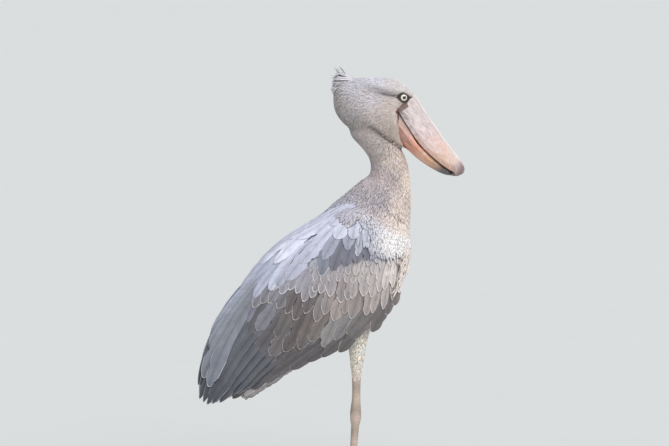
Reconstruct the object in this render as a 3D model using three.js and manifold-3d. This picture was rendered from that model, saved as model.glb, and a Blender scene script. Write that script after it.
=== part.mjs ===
// A life-size standing shoebill (Balaeniceps rex) as a still museum model, in millimetres, +Z up.
// The bird faces +X, its right side is -Y. The feet stand on small flats at z = 0.
// Soft parts are lofts through ribs: each rib is a plane through an upper point a and a lower point b of the
// side outline (both [x, z]), with the half-width w of the bird there. Every part is a closed solid of its own,
// with a thin gap to its neighbours.
import * as THREE from "three";
import Module from "manifold-3d";
import { mergeVertices } from "three/addons/utils/BufferGeometryUtils.js";

const wasm = await Module();
wasm.setup();

// ---------- driving dimensions (mm) ----------
const GAP = 0.35; // thin cut between neighbouring parts
const HIP_Y = 60; // half the distance between the thighs
const HEEL_Y = 52; // half the distance between the heel joints
const FOOT_Y = 60; // half the distance between the feet
const FOOT_X = -16; // where the toes meet, fore and aft
const TOE_ROOT_Z = 15; // height of the toes' meeting point
const SOLE = 3.2; // how much of a toe's round underside is flattened on the floor
const WING_SKIN = 12; // thickness of a folded wing where it stands clear of the trunk
const EYE_R = 13.5; // eyeball radius
const EYE_AT = [120.4, 1078.5]; // eye centre in the side outline
const EYE_Y = 42; // eyeball centre from the middle plane
const CREST_PLUMES = 4; // small plumes of the nape crest
const RECTRICES = 10; // tail feathers
const PRIMARIES = [
  // primaries that show on a folded wing, as root and tip [x, y, z], lowest first
  [[-284, -61, 440], [-381, -64, 283]],
  [[-300, -60, 470], [-407, -50, 296]],
  [[-306, -55, 492], [-409, -44, 319]],
  [[-312, -50, 516], [-404, -38, 345]],
  [[-316, -46, 540], [-394, -32, 372]],
];
const SECONDARIES = 5; // secondary tips along the wing's lower edge

// ---------- ribs: [a.x, a.z, b.x, b.z, w, m] with m = where the rib is widest, 0 at a and 1 at b ----------
const HEAD_RIBS = [
  [-55, 1092, -55, 1066, 12, 0.5],
  [-46, 1119, -50, 1038, 34, 0.5],
  [-22, 1130, -26, 1003, 51, 0.5],
  [16, 1131.5, 8, 985, 62, 0.52],
  [55, 1134, 44, 978, 66.5, 0.54],
  [90, 1129.5, 74, 965, 66.5, 0.55],
  [120, 1117, 96, 954, 62, 0.55],
  [143, 1098, 114, 946, 56, 0.56],
  [160, 1072, 131, 941, 50, 0.58],
  [182, 1034, 156, 925, 46, 0.58],
];
const BODY_RIBS = [
  // neck, from inside the head down
  [-26, 1034, 92, 1000, 46, 0.5],
  [-19, 984, 111, 962, 50, 0.5],
  [7, 952, 123, 941, 49, 0.5],
  [27, 926, 134, 917, 47, 0.5],
  [34, 900, 141, 890, 47.5, 0.5],
  [29, 877, 144.5, 862, 51, 0.5],
  [8, 861, 146.5, 832, 59, 0.5],
  [-24, 834, 147, 800, 72, 0.5],
  [-60, 805, 146, 765, 90, 0.5],
  // trunk
  [-104, 767, 145, 722, 110, 0.5],
  [-146, 740, 140, 678, 124, 0.5],
  [-186, 706, 128, 632, 128, 0.52],
  [-220, 664, 108, 583, 124, 0.54],
  [-247, 621, 77, 533, 112, 0.55],
  [-270, 579, 32, 487, 94, 0.55],
  [-291, 541, -28, 456, 74, 0.52],
  [-312, 504, -98, 434, 57, 0.5],
  [-331, 470, -165, 412, 44, 0.5],
  [-345, 442, -222, 394, 35, 0.5],
  [-350, 424, -256, 385, 26, 0.5],
  [-346, 412, -280, 386, 12, 0.5],
];
const NECK_RIBS = 9; // how many of BODY_RIBS are the neck
const WING_RIBS = [
  [-14, 815, 118, 748, 86, 0.42, 0.45],
  [-34, 812, 138, 712, 112, 0.42, 0.55],
  [-70, 791, 137, 664, 134, 0.42, 0.6],
  [-112, 764, 121, 614, 143, 0.42, 0.52],
  [-155, 737, 92, 562, 146, 0.43, 0.36],
  [-198, 706, 48, 510, 144, 0.44, 0.24],
  [-239, 668, -8, 464, 136, 0.45, 0.17],
  [-282, 616, -76, 422, 122, 0.46, 0.14],
  [-315, 564, -138, 384, 104, 0.47, 0.14],
  [-336, 516, -190, 346, 86, 0.48, 0.14],
  [-340, 470, -236, 316, 74, 0.5, 0.14],
  [-334, 420, -272, 296, 67, 0.5, 0.14],
  [-326, 372, -296, 290, 62, 0.5, 0.14],
];
const UPPER_BILL_RIBS = [
  // a runs along the culmen, b along the mouth line
  [140, 1104, 86, 1074, 44, 0.74],
  [158.6, 1073, 106, 1045, 46.5, 0.74],
  [188, 1026, 133, 1003.5, 51, 0.76],
  [208, 998, 151, 975, 52.5, 0.77],
  [226, 971, 171.5, 949, 51.5, 0.77],
  [243, 949, 196, 925.5, 47.5, 0.77],
  [257, 931, 220, 905.5, 40.5, 0.77],
  [268.5, 915.5, 238.5, 892.5, 31, 0.76],
  [277, 902, 251, 884.5, 21, 0.72],
  [280.8, 889.5, 256.5, 877.5, 12.5, 0.6],
  [276.5, 878, 260.5, 871.5, 6, 0.5],
];
const LOWER_BILL_RIBS = [
  // a runs along the mouth line, b along the lower edge
  [84, 1076, 60, 1000, 41, 0.3],
  [105, 1044, 82, 978, 43, 0.3],
  [132, 1002.5, 106, 957, 46.5, 0.3],
  [156, 963, 131, 944, 47.5, 0.32],
  [176.5, 941.5, 154, 923.5, 45.5, 0.34],
  [195, 924.5, 175.5, 907, 41, 0.36],
  [213, 909, 198, 893, 35, 0.38],
  [229, 896, 217, 882.8, 27, 0.4],
  [241, 888.5, 233.5, 876.8, 18.5, 0.42],
  [249, 883.5, 244.5, 875.3, 10.5, 0.45],
];
const BILL_ZONE = [
  // side outline of the bare bill: forehead point, out round the bill, chin, then up the cheek to the gape
  [158.6, 1073],
  [330, 1170],
  [420, 1000],
  [330, 780],
  [131, 938],
  [118, 950],
  [109.5, 967],
  [105, 990],
  [103.5, 1043.5],
];
// leg ribs: [z, back x, front x, half-width]
const TIBIA_RIBS = [
  [560, -52, 52, 30],
  [520, -44, 50, 34],
  [490, -36, 43, 33],
  [465, -27, 33, 28.5],
  [442, -20.5, 26.5, 23.5],
  [420, -15.5, 21.5, 18.5],
  [392, -12.3, 16.2, 13.2],
  [345, -10.4, 12.2, 10.2],
  [305, -9.8, 11.6, 9.6],
  [276, -11.5, 12.4, 10.8],
  [262, -13.4, 13.6, 12.6],
];
const TARSUS_RIBS = [
  [262, -13.4, 13.6, 12.6],
  [250, -14.6, 14.4, 13.4],
  [236, -13.0, 12.6, 12.2],
  [218, -9.6, 10.0, 9.6],
  [110, -8.2, 9.0, 7.8],
  [50, -9.0, 10.0, 8.6],
  [30, -11.5, 12.5, 11.0],
  [18, -13.0, 14.0, 12.5],
  [8, -11.0, 12.0, 10.5],
];
// toes: length to the claw's root, angle from straight ahead (+ is away from the middle), root and tip radius
const TOES = {
  middle: { length: 142, angle: 4, root: 8.6, tip: 5.4 },
  inner: { length: 108, angle: -27, root: 8.0, tip: 5.2 },
  outer: { length: 118, angle: 33, root: 8.0, tip: 5.2 },
  hallux: { length: 74, angle: 187, root: 7.8, tip: 5.2 },
};
const CLAW_LENGTH = 21;

// ---------- colours ----------
const paint = (colour, roughness) => new THREE.MeshStandardMaterial({ color: colour, roughness, metalness: 0 });
const PLUMAGE = paint(0x8f9299, 0.9);
const WING_GREY = paint(0x7b828d, 0.85);
const TAIL_SLATE = paint(0x4a515d, 0.85);
const BILL = paint(0xc9a48e, 0.5);
const IRIS = paint(0xe6e2c4, 0.15);
const BARE_SKIN = paint(0x8c7d70, 0.7);
const CLAW = paint(0x3a3532, 0.5);

// ---------- geometry helpers ----------
const lerp = (p, q, t) => p + (q - p) * t;

// Catmull-Rom through rows of numbers, at position s in 0..rows-1
function along(rows, s) {
  const i = Math.min(Math.floor(s), rows.length - 2);
  const t = s - i;
  const p = rows[Math.max(i - 1, 0)], q = rows[i], r = rows[i + 1], u = rows[Math.min(i + 2, rows.length - 1)];
  return q.map((_, k) => 0.5 * (2 * q[k] + (r[k] - p[k]) * t + (2 * p[k] - 5 * q[k] + 4 * r[k] - u[k]) * t * t +
    (3 * q[k] - p[k] - 3 * r[k] + u[k]) * t * t * t));
}

// half profiles: points [t, y] from the upper point (t = 0) to the lower one (t = 1), y as a share of w
const profiles = {
  round: (m, n) => Array.from({ length: n + 1 }, (_, i) => {
    const f = (Math.PI * i) / n;
    return [Math.pow((1 - Math.cos(f)) / 2, Math.log(m) / Math.log(0.5)), Math.sin(f)];
  }),
  // rounded but fuller towards crown and jaw: a broad head
  full: (m, n) => profiles.round(m, n).map(([t, y]) => [t, Math.abs(y) < 1e-6 ? 0 : y ** 0.78]),
  // arched above, flat-bottomed: a folded wing pair, or an upper bill; tuck is how far the lower edge draws in
  arch: (m, n, tuck) => {
    const points = [];
    const up = Math.round(n * 0.6);
    for (let i = 0; i <= up; i++) {
      const f = (Math.PI / 2) * (i / up);
      points.push([m * (1 - Math.cos(f)), Math.sin(f)]);
    }
    const down = n - up;
    for (let i = 1; i <= down; i++) {
      const t = lerp(m, 1, i / down);
      points.push([t, 1 - tuck * ((t - m) / (1 - m)) ** 2]);
    }
    points.push([1, 0]);
    return points;
  },
  // flat-topped, rounded below: a lower bill
  keel: (m, n) => {
    const points = [[0, 0], [0, 0.93]];
    for (let i = 0; i <= n; i++) {
      const f = (Math.PI / 2) * (i / n);
      points.push([lerp(m, 1, 1 - Math.cos(f)), Math.cos(f) ** 0.8 || 0]);
    }
    points[points.length - 1] = [1, 0];
    return points;
  },
};

// A closed loft through ribs. grow widens every rib and moves its ends outward by that much.
function loft(ribs, { kind = "round", steps = 2, n = 10, grow = 0 } = {}) {
  const rings = [];
  const count = (ribs.length - 1) * steps;
  for (let i = 0; i <= count; i++) {
    const [ax, az, bx, bz, w, m, tuck = 0.14] = along(ribs, i / steps);
    const length = Math.hypot(bx - ax, bz - az) || 1;
    const ux = (ax - bx) / length, uz = (az - bz) / length;
    const half = profiles[kind](m, n, tuck).map(([t, y]) => [
      lerp(ax + ux * grow, bx - ux * grow, t), y * (w + grow), lerp(az + uz * grow, bz - uz * grow, t)]);
    const ring = half.map(([x, y, z]) => [x, -y, z]);
    for (let k = half.length - 2; k > 0; k--) ring.push(half[k]);
    rings.push(ring.map(([x, y, z]) => new THREE.Vector3(x, y, z)));
  }
  return skin(rings);
}

// Joins rings of equal length to a closed mesh, with a middle point at each end. The second half of each ring
// has its quads cut the other way, so that a ring that is the same on both sides makes an even mesh.
function skin(rings) {
  const n = rings[0].length;
  const points = rings.flat();
  const faces = [];
  for (let i = 0; i + 1 < rings.length; i++)
    for (let k = 0; k < n; k++) {
      const a = i * n + k, b = i * n + ((k + 1) % n), c = a + n, d = b + n;
      if (k < n / 2) faces.push([a, b, d], [a, d, c]);
      else faces.push([a, b, c], [b, d, c]);
    }
  for (const [start, turn] of [[0, true], [(rings.length - 1) * n, false]]) {
    const middle = new THREE.Vector3();
    for (let k = 0; k < n; k++) middle.add(points[start + k]);
    points.push(middle.divideScalar(n));
    for (let k = 0; k < n; k++) {
      const a = start + k, b = start + ((k + 1) % n);
      faces.push(turn ? [b, a, points.length - 1] : [a, b, points.length - 1]);
    }
  }
  const geometry = new THREE.BufferGeometry();
  geometry.setAttribute("position", new THREE.Float32BufferAttribute(points.flatMap((p) => p.toArray()), 3));
  geometry.setIndex(faces.flat());
  return solid(geometry);
}

// A three.js geometry as a manifold solid, turned to face outward.
function solid(geometry) {
  const g = (geometry.index ? geometry : mergeVertices(geometry)).clone();
  g.deleteAttribute("normal");
  g.deleteAttribute("uv");
  const merged = mergeVertices(g, 1e-4);
  const triVerts = new Uint32Array(merged.index.array);
  const make = () => new wasm.Manifold(new wasm.Mesh({ numProp: 3, vertProperties: merged.attributes.position.array, triVerts }));
  let made = make();
  if (made.volume() < 0) {
    for (let i = 0; i < triVerts.length; i += 3) [triVerts[i + 1], triVerts[i + 2]] = [triVerts[i + 2], triVerts[i + 1]];
    made = make();
  }
  return made;
}

// The space on one side of a plane across the bird, through [x, z], on the side that (nx, nz) points to.
function side([x, z], [nx, nz], gap = GAP / 2) {
  const box = new THREE.BoxGeometry(1400, 1000, 1400).translate(0, 0, 700 + gap);
  box.rotateY(Math.atan2(nx, nz)).translate(x, 0, z);
  return solid(box);
}

// A prism across the bird with the given side outline of [x, z] points.
function across(outline, width, offset = 0) {
  const shape = new THREE.Shape(outline.map(([x, z]) => new THREE.Vector2(x, z)));
  const g = new THREE.ExtrudeGeometry(shape, { depth: width, bevelEnabled: false });
  return solid(g.rotateX(Math.PI / 2).translate(0, width / 2 + offset, 0));
}

// A flat-lying feather blade with a lens section, from root to tip. lie is the direction its face looks to.
function blade(root, tip, width, thick, lie, rounding = 0.5) {
  const r = new THREE.Vector3(...root), t = new THREE.Vector3(...tip);
  const way = t.clone().sub(r), length = way.length();
  way.normalize();
  const out = new THREE.Vector3(...lie);
  out.addScaledVector(way, -out.dot(way)).normalize();
  const wide = new THREE.Vector3().crossVectors(way, out);
  const rings = [];
  const stations = [0, 0.62, 0.86, 0.985];
  for (const s of stations) {
    const fall = s < 0.62 ? lerp(0.72, 1, s / 0.62) : Math.sqrt(Math.max(1 - ((s - 0.62) / 0.39) ** 2, 0.02));
    const w = (width / 2) * fall, h = (thick / 2) * lerp(1, 0.45, s);
    const c = r.clone().addScaledVector(way, length * s);
    rings.push([[w, 0], [w * rounding, h], [-w * rounding, h], [-w, 0], [0, -h]].map(([p, q]) =>
      c.clone().addScaledVector(wide, p).addScaledVector(out, q)));
  }
  return skin(rings);
}

// A round-sectioned limb along points [x, y, z, radius across, radius up].
function limb(points, { steps = 3, n = 10 } = {}) {
  const curve = new THREE.CatmullRomCurve3(points.map(([x, y, z]) => new THREE.Vector3(x, y, z)));
  const rings = [];
  const count = (points.length - 1) * steps;
  for (let i = 0; i <= count; i++) {
    const s = i / count;
    const [, , , wide, high] = along(points, s * (points.length - 1));
    const c = curve.getPoint(s), way = curve.getTangent(s);
    const sideways = new THREE.Vector3(-way.y, way.x, 0).normalize();
    const up = new THREE.Vector3().crossVectors(way, sideways).multiplyScalar(-1);
    const ring = [];
    for (let k = 0; k < n; k++) {
      const f = (2 * Math.PI * k) / n;
      ring.push(c.clone().addScaledVector(sideways, wide * Math.cos(f)).addScaledVector(up, high * Math.sin(f)));
    }
    rings.push(ring);
  }
  return skin(rings);
}

// A leg length: horizontal ribs, its middle running from y0 to y1.
function legLoft(ribs, y0, y1, grow = 0, n = 10, x1 = 0) {
  const z0 = ribs[0][0], z1 = ribs[ribs.length - 1][0];
  return skin(ribs.map(([z, back, front, w]) => {
    const s = (z0 - z) / (z0 - z1);
    const y = lerp(y0, y1, s), dx = x1 * s, cx = (back + front) / 2 + dx, hx = (front - back) / 2 + grow;
    return Array.from({ length: n }, (_, k) => {
      const f = (2 * Math.PI * k) / n;
      return new THREE.Vector3(cx + hx * Math.cos(f), y + (w + grow) * Math.sin(f), z);
    });
  }));
}

const FLOOR = solid(new THREE.BoxGeometry(1400, 1000, 200).translate(0, 0, -100));
const RIGHT = solid(new THREE.BoxGeometry(1400, 600, 1600).translate(0, -300, 700));

const mirror = (shape) => shape.mirror([0, 1, 0]);

// ---------- head, neck and trunk ----------
const headLoft = (grow = 0) => loft(HEAD_RIBS, { kind: "full", n: 8, steps: 2, grow });
const bodyLoft = (grow = 0) => loft(BODY_RIBS, { n: 11, steps: 1, grow });

// nape crest: a small bundle of pointed plumes
function crest() {
  let made = null;
  for (let i = 0; i < CREST_PLUMES; i++) {
    const s = i / (CREST_PLUMES - 1) - 0.5;
    const lift = 1 - Math.abs(s) * 1.1;
    const plume = blade([-6, s * 26, 1112], [-52 - 13 * lift, s * 30, 1128 + 17 * lift], 17, 13, [0.5, s * 1.2, 1], 0.6);
    made = made ? made.add(plume) : plume;
  }
  return made;
}

const HEAD_CUT = [[118, 946.5], [0.456, 0.89]]; // head above, neck below
const NECK_CUT = [[10, 858], [0.47, 0.882]]; // neck above, trunk below
const away = ([at, way]) => [at, way.map((v) => -v)];

const billZone = across(BILL_ZONE, 400);
const flesh = headLoft().simplify(0.5).add(bodyLoft().subtract(side(...HEAD_CUT, 0))).add(crest());
const eyeball = (radius) => solid(new THREE.SphereGeometry(radius, 14, 8).rotateX(Math.PI / 2).translate(EYE_AT[0], -EYE_Y, EYE_AT[1]));
const eyeSpace = eyeball(EYE_R + GAP);
const head = flesh.intersect(side(...HEAD_CUT)).subtract(billZone).subtract(eyeSpace).subtract(mirror(eyeSpace));
const neck = bodyLoft().intersect(side(...away(HEAD_CUT))).intersect(side(...NECK_CUT)).subtract(billZone);
const trunk = bodyLoft().intersect(side(...away(NECK_CUT)));

// ---------- bill ----------
const inset = BILL_ZONE.map(([x, z], i) => (i >= 4 || i === 0 ? [x + GAP * (i === 0 ? 0.6 : 1), z - (i === 0 ? GAP : 0)] : [x, z]));
const billSpace = across(inset, 380);
const upperBill = loft(UPPER_BILL_RIBS, { kind: "arch", n: 8, steps: 1 }).intersect(billSpace);
const lowerBill = loft(LOWER_BILL_RIBS, { kind: "keel", n: 5, steps: 1 }).intersect(billSpace)
  .subtract(loft(UPPER_BILL_RIBS, { kind: "arch", n: 8, steps: 1, grow: GAP })).subtract(bodyLoft(GAP));

// ---------- wings: an arched shell over trunk and rump, parted along the back ----------
const backGap = solid(new THREE.ExtrudeGeometry(
  new THREE.Shape([[60, -90], [-60, -66], [-150, -40], [-230, -14], [-300, -3], [-460, -3], [-460, 3], [-300, 3], [-230, 14], [-150, 40], [-60, 66], [60, 90]]
    .map(([x, y]) => new THREE.Vector2(x, y))), { depth: 1600, bevelEnabled: false }));
const thinner = WING_RIBS.map(([ax, az, bx, bz, w, m, tuck], i) => {
  const length = Math.hypot(ax - bx, az - bz), skinHere = lerp(WING_SKIN, 7, i / (WING_RIBS.length - 1));
  const ux = (ax - bx) / length, uz = (az - bz) / length;
  // the inside draws in with the outside, although it runs on below it
  const edge = (length - skinHere) / (length - skinHere + 30);
  return [ax - ux * skinHere, az - uz * skinHere, bx - ux * 30, bz - uz * 30, w - skinHere, m, tuck * ((1 - m) / (edge - m)) ** 2];
});
// the inside runs on past the tail end, so that the shell is open there
thinner.push([-318, 320, -312, 270, 40, 0.5, 0.14]);
const wingInside = loft(thinner, { kind: "arch", n: 8, steps: 1 });

function wingRight() {
  let wing = loft(WING_RIBS, { kind: "arch", n: 9, steps: 1 }).subtract(wingInside).intersect(RIGHT).subtract(backGap);
  // primary tips: long blades that leave the shell behind the tertials and run down behind the tail, the
  // longest lowest, in a stack that steps up along the wing's rear edge
  for (const [root, tip] of PRIMARIES) wing = wing.add(blade(root, tip, 33, 7, [-0.15, -1, 0.05]));
  // secondary tips: a row of blades along the lower edge
  for (let i = 0; i < SECONDARIES; i++) {
    const [, , bx, bz, w, , tuck] = along(WING_RIBS, lerp(5.9, 11.2, i / (SECONDARIES - 1)));
    wing = wing.add(blade([bx + 30, -w * (1 - 0.7 * tuck) + 8, bz + 58], [bx - 21, -w * (0.93 - tuck), bz - 4], 48, 7, [0, -1, 0.1]));
  }
  return wing;
}
const largest = (shape) => shape.decompose().sort((p, q) => q.volume() - p.volume())[0];
const right = largest(wingRight().simplify(0.9).subtract(bodyLoft(GAP)));

// ---------- tail: rectrices in a shallow fan ----------
function tailFan() {
  let tail = null;
  for (let i = 0; i < RECTRICES; i++) {
    const s = (2 * i) / (RECTRICES - 1) - 1;
    const feather = blade(
      [-258 - 6 * Math.abs(s), s * 14, 424 - 4 * Math.abs(s)],
      [-390 + 22 * s * s, s * 44, 276 + 9 * s * s],
      25, 7, [-0.8, s * 0.3, 0.62]);
    tail = tail ? tail.add(feather) : feather;
  }
  return tail;
}

// ---------- legs ----------
const tibia = (grow = 0) => legLoft(TIBIA_RIBS, -HIP_Y, -HEEL_Y, grow);
const tarsus = (grow = 0) => legLoft(TARSUS_RIBS, -HEEL_Y, -FOOT_Y, grow, 10, FOOT_X);

function toe({ length, angle, root, tip }, grow = 0) {
  const a = (angle * Math.PI) / 180;
  const dir = [Math.cos(a), -Math.sin(a)]; // right foot: outward is -Y
  const rows = [
    [0, TOE_ROOT_Z, root * 1.0],
    [0.16, TOE_ROOT_Z - 3.5, root * 0.98],
    [0.4, root - SOLE + 1.0, root * 0.92],
    [0.66, lerp(root, tip, 0.66) - SOLE + 1.0, lerp(root, tip, 0.66) * 0.92],
    [0.82, lerp(root, tip, 0.82) - SOLE + 0.6, lerp(root, tip, 0.82) * 1.02],
    [1, tip - SOLE + 1.8, tip],
  ];
  return limb(rows.map(([s, z, r]) => [FOOT_X + dir[0] * length * s, -FOOT_Y + dir[1] * length * s, z + 0, r + grow, r * 0.92 + grow]), { steps: 1, n: 8 });
}
function claw({ length, angle, tip }) {
  const a = (angle * Math.PI) / 180;
  const dir = [Math.cos(a), -Math.sin(a)];
  const at = (d, z, wide, high) => [FOOT_X + dir[0] * (length + d), -FOOT_Y + dir[1] * (length + d), z, wide, high];
  return limb([at(-3, tip - 0.6, 3.8, 3.9), at(4, tip + 0.8, 3.6, 4.0), at(11, tip + 0.2, 2.5, 2.9), at(CLAW_LENGTH - 4, tip - 2.0, 1.4, 1.7), at(CLAW_LENGTH, 1.9, 0.7, 0.8)],
    { steps: 1, n: 6 });
}

// ---------- the scene graph ----------
const bird = new THREE.Group();

function mesh(name, shape, material, parent = bird) {
  const m = shape.getMesh(), n = m.numProp;
  const v = new Float32Array(m.numVert * 3);
  for (let i = 0; i < m.numVert; i++) v.set(m.vertProperties.subarray(i * n, i * n + 3), i * 3);
  const g = new THREE.BufferGeometry();
  g.setAttribute("position", new THREE.BufferAttribute(v, 3));
  g.setIndex(new THREE.BufferAttribute(m.triVerts, 1));
  g.computeVertexNormals();
  const made = new THREE.Mesh(g, material);
  made.name = name;
  parent.add(made);
  return made;
}

mesh("head", head, PLUMAGE);
mesh("neck", neck, PLUMAGE);
mesh("bill_upper", upperBill, BILL);
mesh("bill_lower", lowerBill, BILL);

// the room a folded wing needs near the tail: the wing itself, moved a little each way
const rear = right.intersect(side([-200, 400], [-1, 0]));
const room = [[1, 0, 0], [-1, 0, 0], [0, 1, 0], [0, -1, 0], [0, 0, 1], [0, 0, -1]]
  .reduce((sum, way) => sum.add(rear.translate(way.map((v) => v * 0.8))), rear);
const tail = largest(tailFan().simplify(0.9).subtract(bodyLoft(GAP)).subtract(room).subtract(mirror(room)));
mesh("tail", tail, TAIL_SLATE);

// the right side is modelled, and the left is its mirror image
const thigh = tibia().subtract(bodyLoft(GAP)).intersect(side([0, 262], [0, 1]));
const shank = tarsus().intersect(side([0, 262], [0, -1])).intersect(side([0, 8], [0, 1], 0));
mesh("trunk", trunk, PLUMAGE);
const sides = { r: (s) => s, l: mirror };
for (const [tag, put] of Object.entries(sides)) {
  mesh("wing_" + tag, put(right.subtract(tibia(GAP))), WING_GREY);
  mesh("tibia_" + tag, put(largest(thigh)), PLUMAGE);
  mesh("tarsus_" + tag, put(shank), BARE_SKIN);
  mesh("eye_" + tag, put(eyeball(EYE_R)), IRIS);
  let taken = tarsus(GAP);
  for (const [name, facts] of Object.entries(TOES)) {
    const clawHere = claw(facts);
    const shape = toe(facts).subtract(taken).subtract(FLOOR);
    taken = taken.add(toe(facts, GAP));
    mesh(`toe_${name}_${tag}`, put(largest(shape)), BARE_SKIN);
    mesh(`claw_${name}_${tag}`, put(largest(clawHere.subtract(toe(facts, GAP)))), CLAW);
  }
}

// the origin is the middle of the model's box, on the floor
const box = new THREE.Box3().setFromObject(bird);
bird.position.set(-(box.min.x + box.max.x) / 2, 0, -box.min.z);

export default bird;
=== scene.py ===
"""A life-size shoebill: one skin, a bill, eyes and claws, and a coat of solid feathers laid over the skin.

Lengths are in millimetres in a side frame (x forward, z up, y to the bird's left) and turned to metres, in the
frame's own place, when a mesh is made. The outlines are the ribs that also shape the frame's solids.
"""

import math

import bpy
import numpy as np
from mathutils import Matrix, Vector
from mathutils.bvhtree import BVHTree
from mathutils.kdtree import KDTree


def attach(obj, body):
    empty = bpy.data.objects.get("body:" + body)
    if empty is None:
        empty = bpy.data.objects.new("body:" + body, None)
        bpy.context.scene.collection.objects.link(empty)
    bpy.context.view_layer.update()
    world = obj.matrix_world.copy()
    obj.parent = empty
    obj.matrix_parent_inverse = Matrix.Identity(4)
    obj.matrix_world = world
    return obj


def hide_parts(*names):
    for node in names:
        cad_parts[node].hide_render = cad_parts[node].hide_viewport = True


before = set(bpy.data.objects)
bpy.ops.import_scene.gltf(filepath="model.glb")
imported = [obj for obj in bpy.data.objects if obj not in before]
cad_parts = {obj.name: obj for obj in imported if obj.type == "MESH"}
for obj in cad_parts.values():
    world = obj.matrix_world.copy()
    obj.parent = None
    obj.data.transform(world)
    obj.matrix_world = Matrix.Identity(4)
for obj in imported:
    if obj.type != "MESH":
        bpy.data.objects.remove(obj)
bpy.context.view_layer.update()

SHIFT = 65.783  # from the side frame's x to the frame's x, mm
SKIN_VOXEL = 2.5  # mm
BODY_COAT = 8.0  # how deep the skin lies under the solids on the body, mm
NECK_COAT = 6.0
HEAD_COAT = 4.0
PATCH = 0.003  # a small feather's patch on the bake map

# ------------------------------------------------------------------ ribs (as in the frame's solids)
HEAD_RIBS = [
    [-55, 1092, -55, 1066, 12, 0.5],
    [-46, 1119, -50, 1038, 34, 0.5],
    [-22, 1130, -26, 1003, 51, 0.5],
    [16, 1131.5, 8, 985, 62, 0.52],
    [55, 1134, 44, 978, 66.5, 0.54],
    [90, 1129.5, 74, 965, 66.5, 0.55],
    [120, 1117, 96, 954, 62, 0.55],
    [143, 1098, 114, 946, 56, 0.56],
    [160, 1072, 131, 941, 50, 0.58],
    [182, 1034, 156, 925, 46, 0.58],
]
BODY_RIBS = [
    [-26, 1034, 92, 1000, 46, 0.5],
    [-19, 984, 111, 962, 50, 0.5],
    [7, 952, 123, 941, 49, 0.5],
    [27, 926, 134, 917, 47, 0.5],
    [34, 900, 141, 890, 47.5, 0.5],
    [29, 877, 144.5, 862, 51, 0.5],
    [8, 861, 146.5, 832, 59, 0.5],
    [-24, 834, 147, 800, 72, 0.5],
    [-60, 805, 146, 765, 90, 0.5],
    [-104, 767, 145, 722, 110, 0.5],
    [-146, 740, 140, 678, 124, 0.5],
    [-186, 706, 128, 632, 128, 0.52],
    [-220, 664, 108, 583, 124, 0.54],
    [-247, 621, 77, 533, 112, 0.55],
    [-270, 579, 32, 487, 94, 0.55],
    [-291, 541, -28, 456, 74, 0.52],
    [-312, 504, -98, 434, 57, 0.5],
    [-331, 470, -165, 412, 44, 0.5],
    [-345, 442, -222, 394, 35, 0.5],
    [-350, 424, -256, 385, 26, 0.5],
    [-346, 412, -280, 386, 12, 0.5],
]
WING_RIBS = [  # the last number is how far the lower edge draws in
    [-14, 815, 118, 748, 86, 0.42, 0.45],
    [-34, 812, 138, 712, 112, 0.42, 0.55],
    [-70, 791, 137, 664, 134, 0.42, 0.6],
    [-112, 764, 121, 614, 143, 0.42, 0.52],
    [-155, 737, 92, 562, 146, 0.43, 0.36],
    [-198, 706, 48, 510, 144, 0.44, 0.24],
    [-239, 668, -8, 464, 136, 0.45, 0.17],
    [-282, 616, -76, 422, 122, 0.46, 0.14],
    [-315, 564, -138, 384, 104, 0.47, 0.14],
    [-336, 516, -190, 346, 86, 0.48, 0.14],
    [-340, 470, -236, 316, 74, 0.5, 0.14],
    [-334, 420, -272, 296, 67, 0.5, 0.14],
    [-326, 372, -296, 290, 62, 0.5, 0.14],
]
UPPER_BILL_RIBS = [
    [140, 1104, 86, 1074, 44, 0.74],
    [158.6, 1073, 106, 1045, 46.5, 0.74],
    [188, 1026, 133, 1003.5, 51, 0.76],
    [208, 998, 151, 975, 52.5, 0.77],
    [226, 971, 171.5, 949, 51.5, 0.77],
    [243, 949, 196, 925.5, 47.5, 0.77],
    [257, 931, 220, 905.5, 40.5, 0.77],
    [268.5, 915.5, 238.5, 892.5, 31, 0.76],
    [277, 902, 251, 884.5, 21, 0.72],
    [280.8, 889.5, 256.5, 877.5, 12.5, 0.6],
    [276.5, 878, 260.5, 871.5, 6, 0.5],
]
LOWER_BILL_RIBS = [
    [84, 1076, 60, 1000, 41, 0.3],
    [105, 1044, 82, 978, 43, 0.3],
    [132, 1002.5, 106, 957, 46.5, 0.3],
    [156, 963, 131, 944, 47.5, 0.32],
    [176.5, 941.5, 154, 923.5, 45.5, 0.34],
    [195, 924.5, 175.5, 907, 41, 0.36],
    [213, 909, 198, 893, 35, 0.38],
    [229, 896, 217, 882.8, 27, 0.4],
    [241, 888.5, 233.5, 876.8, 18.5, 0.42],
    [249, 883.5, 244.5, 875.3, 10.5, 0.45],
]
BILL_ZONE = [(158.6, 1073), (330, 1170), (420, 1000), (330, 780), (131, 938), (118, 950), (109.5, 967), (105, 990),
             (103.5, 1043.5)]
TIBIA_RIBS = [
    [560, -52, 52, 30], [520, -44, 50, 34], [490, -36, 43, 33], [465, -27, 33, 28.5], [442, -20.5, 26.5, 23.5],
    [420, -15.5, 21.5, 18.5], [392, -12.3, 16.2, 13.2], [345, -10.4, 12.2, 10.2], [305, -9.8, 11.6, 9.6],
    [276, -11.5, 12.4, 10.8], [262, -13.4, 13.6, 12.6],
]
TARSUS_RIBS = [
    [262, -13.4, 13.6, 12.6], [250, -14.6, 14.4, 13.4], [236, -13.0, 12.6, 12.2], [218, -9.6, 10.0, 9.6],
    [110, -8.2, 9.0, 7.8], [50, -9.0, 10.0, 8.6], [30, -11.5, 12.5, 11.0], [18, -13.0, 14.0, 12.5],
    [8, -11.0, 12.0, 10.5],
]
HIP_Y, HEEL_Y, FOOT_Y, FOOT_X = 60, 52, 60, -16
TOE_ROOT_Z, SOLE, CLAW_LENGTH = 15, 3.2, 21
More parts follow.
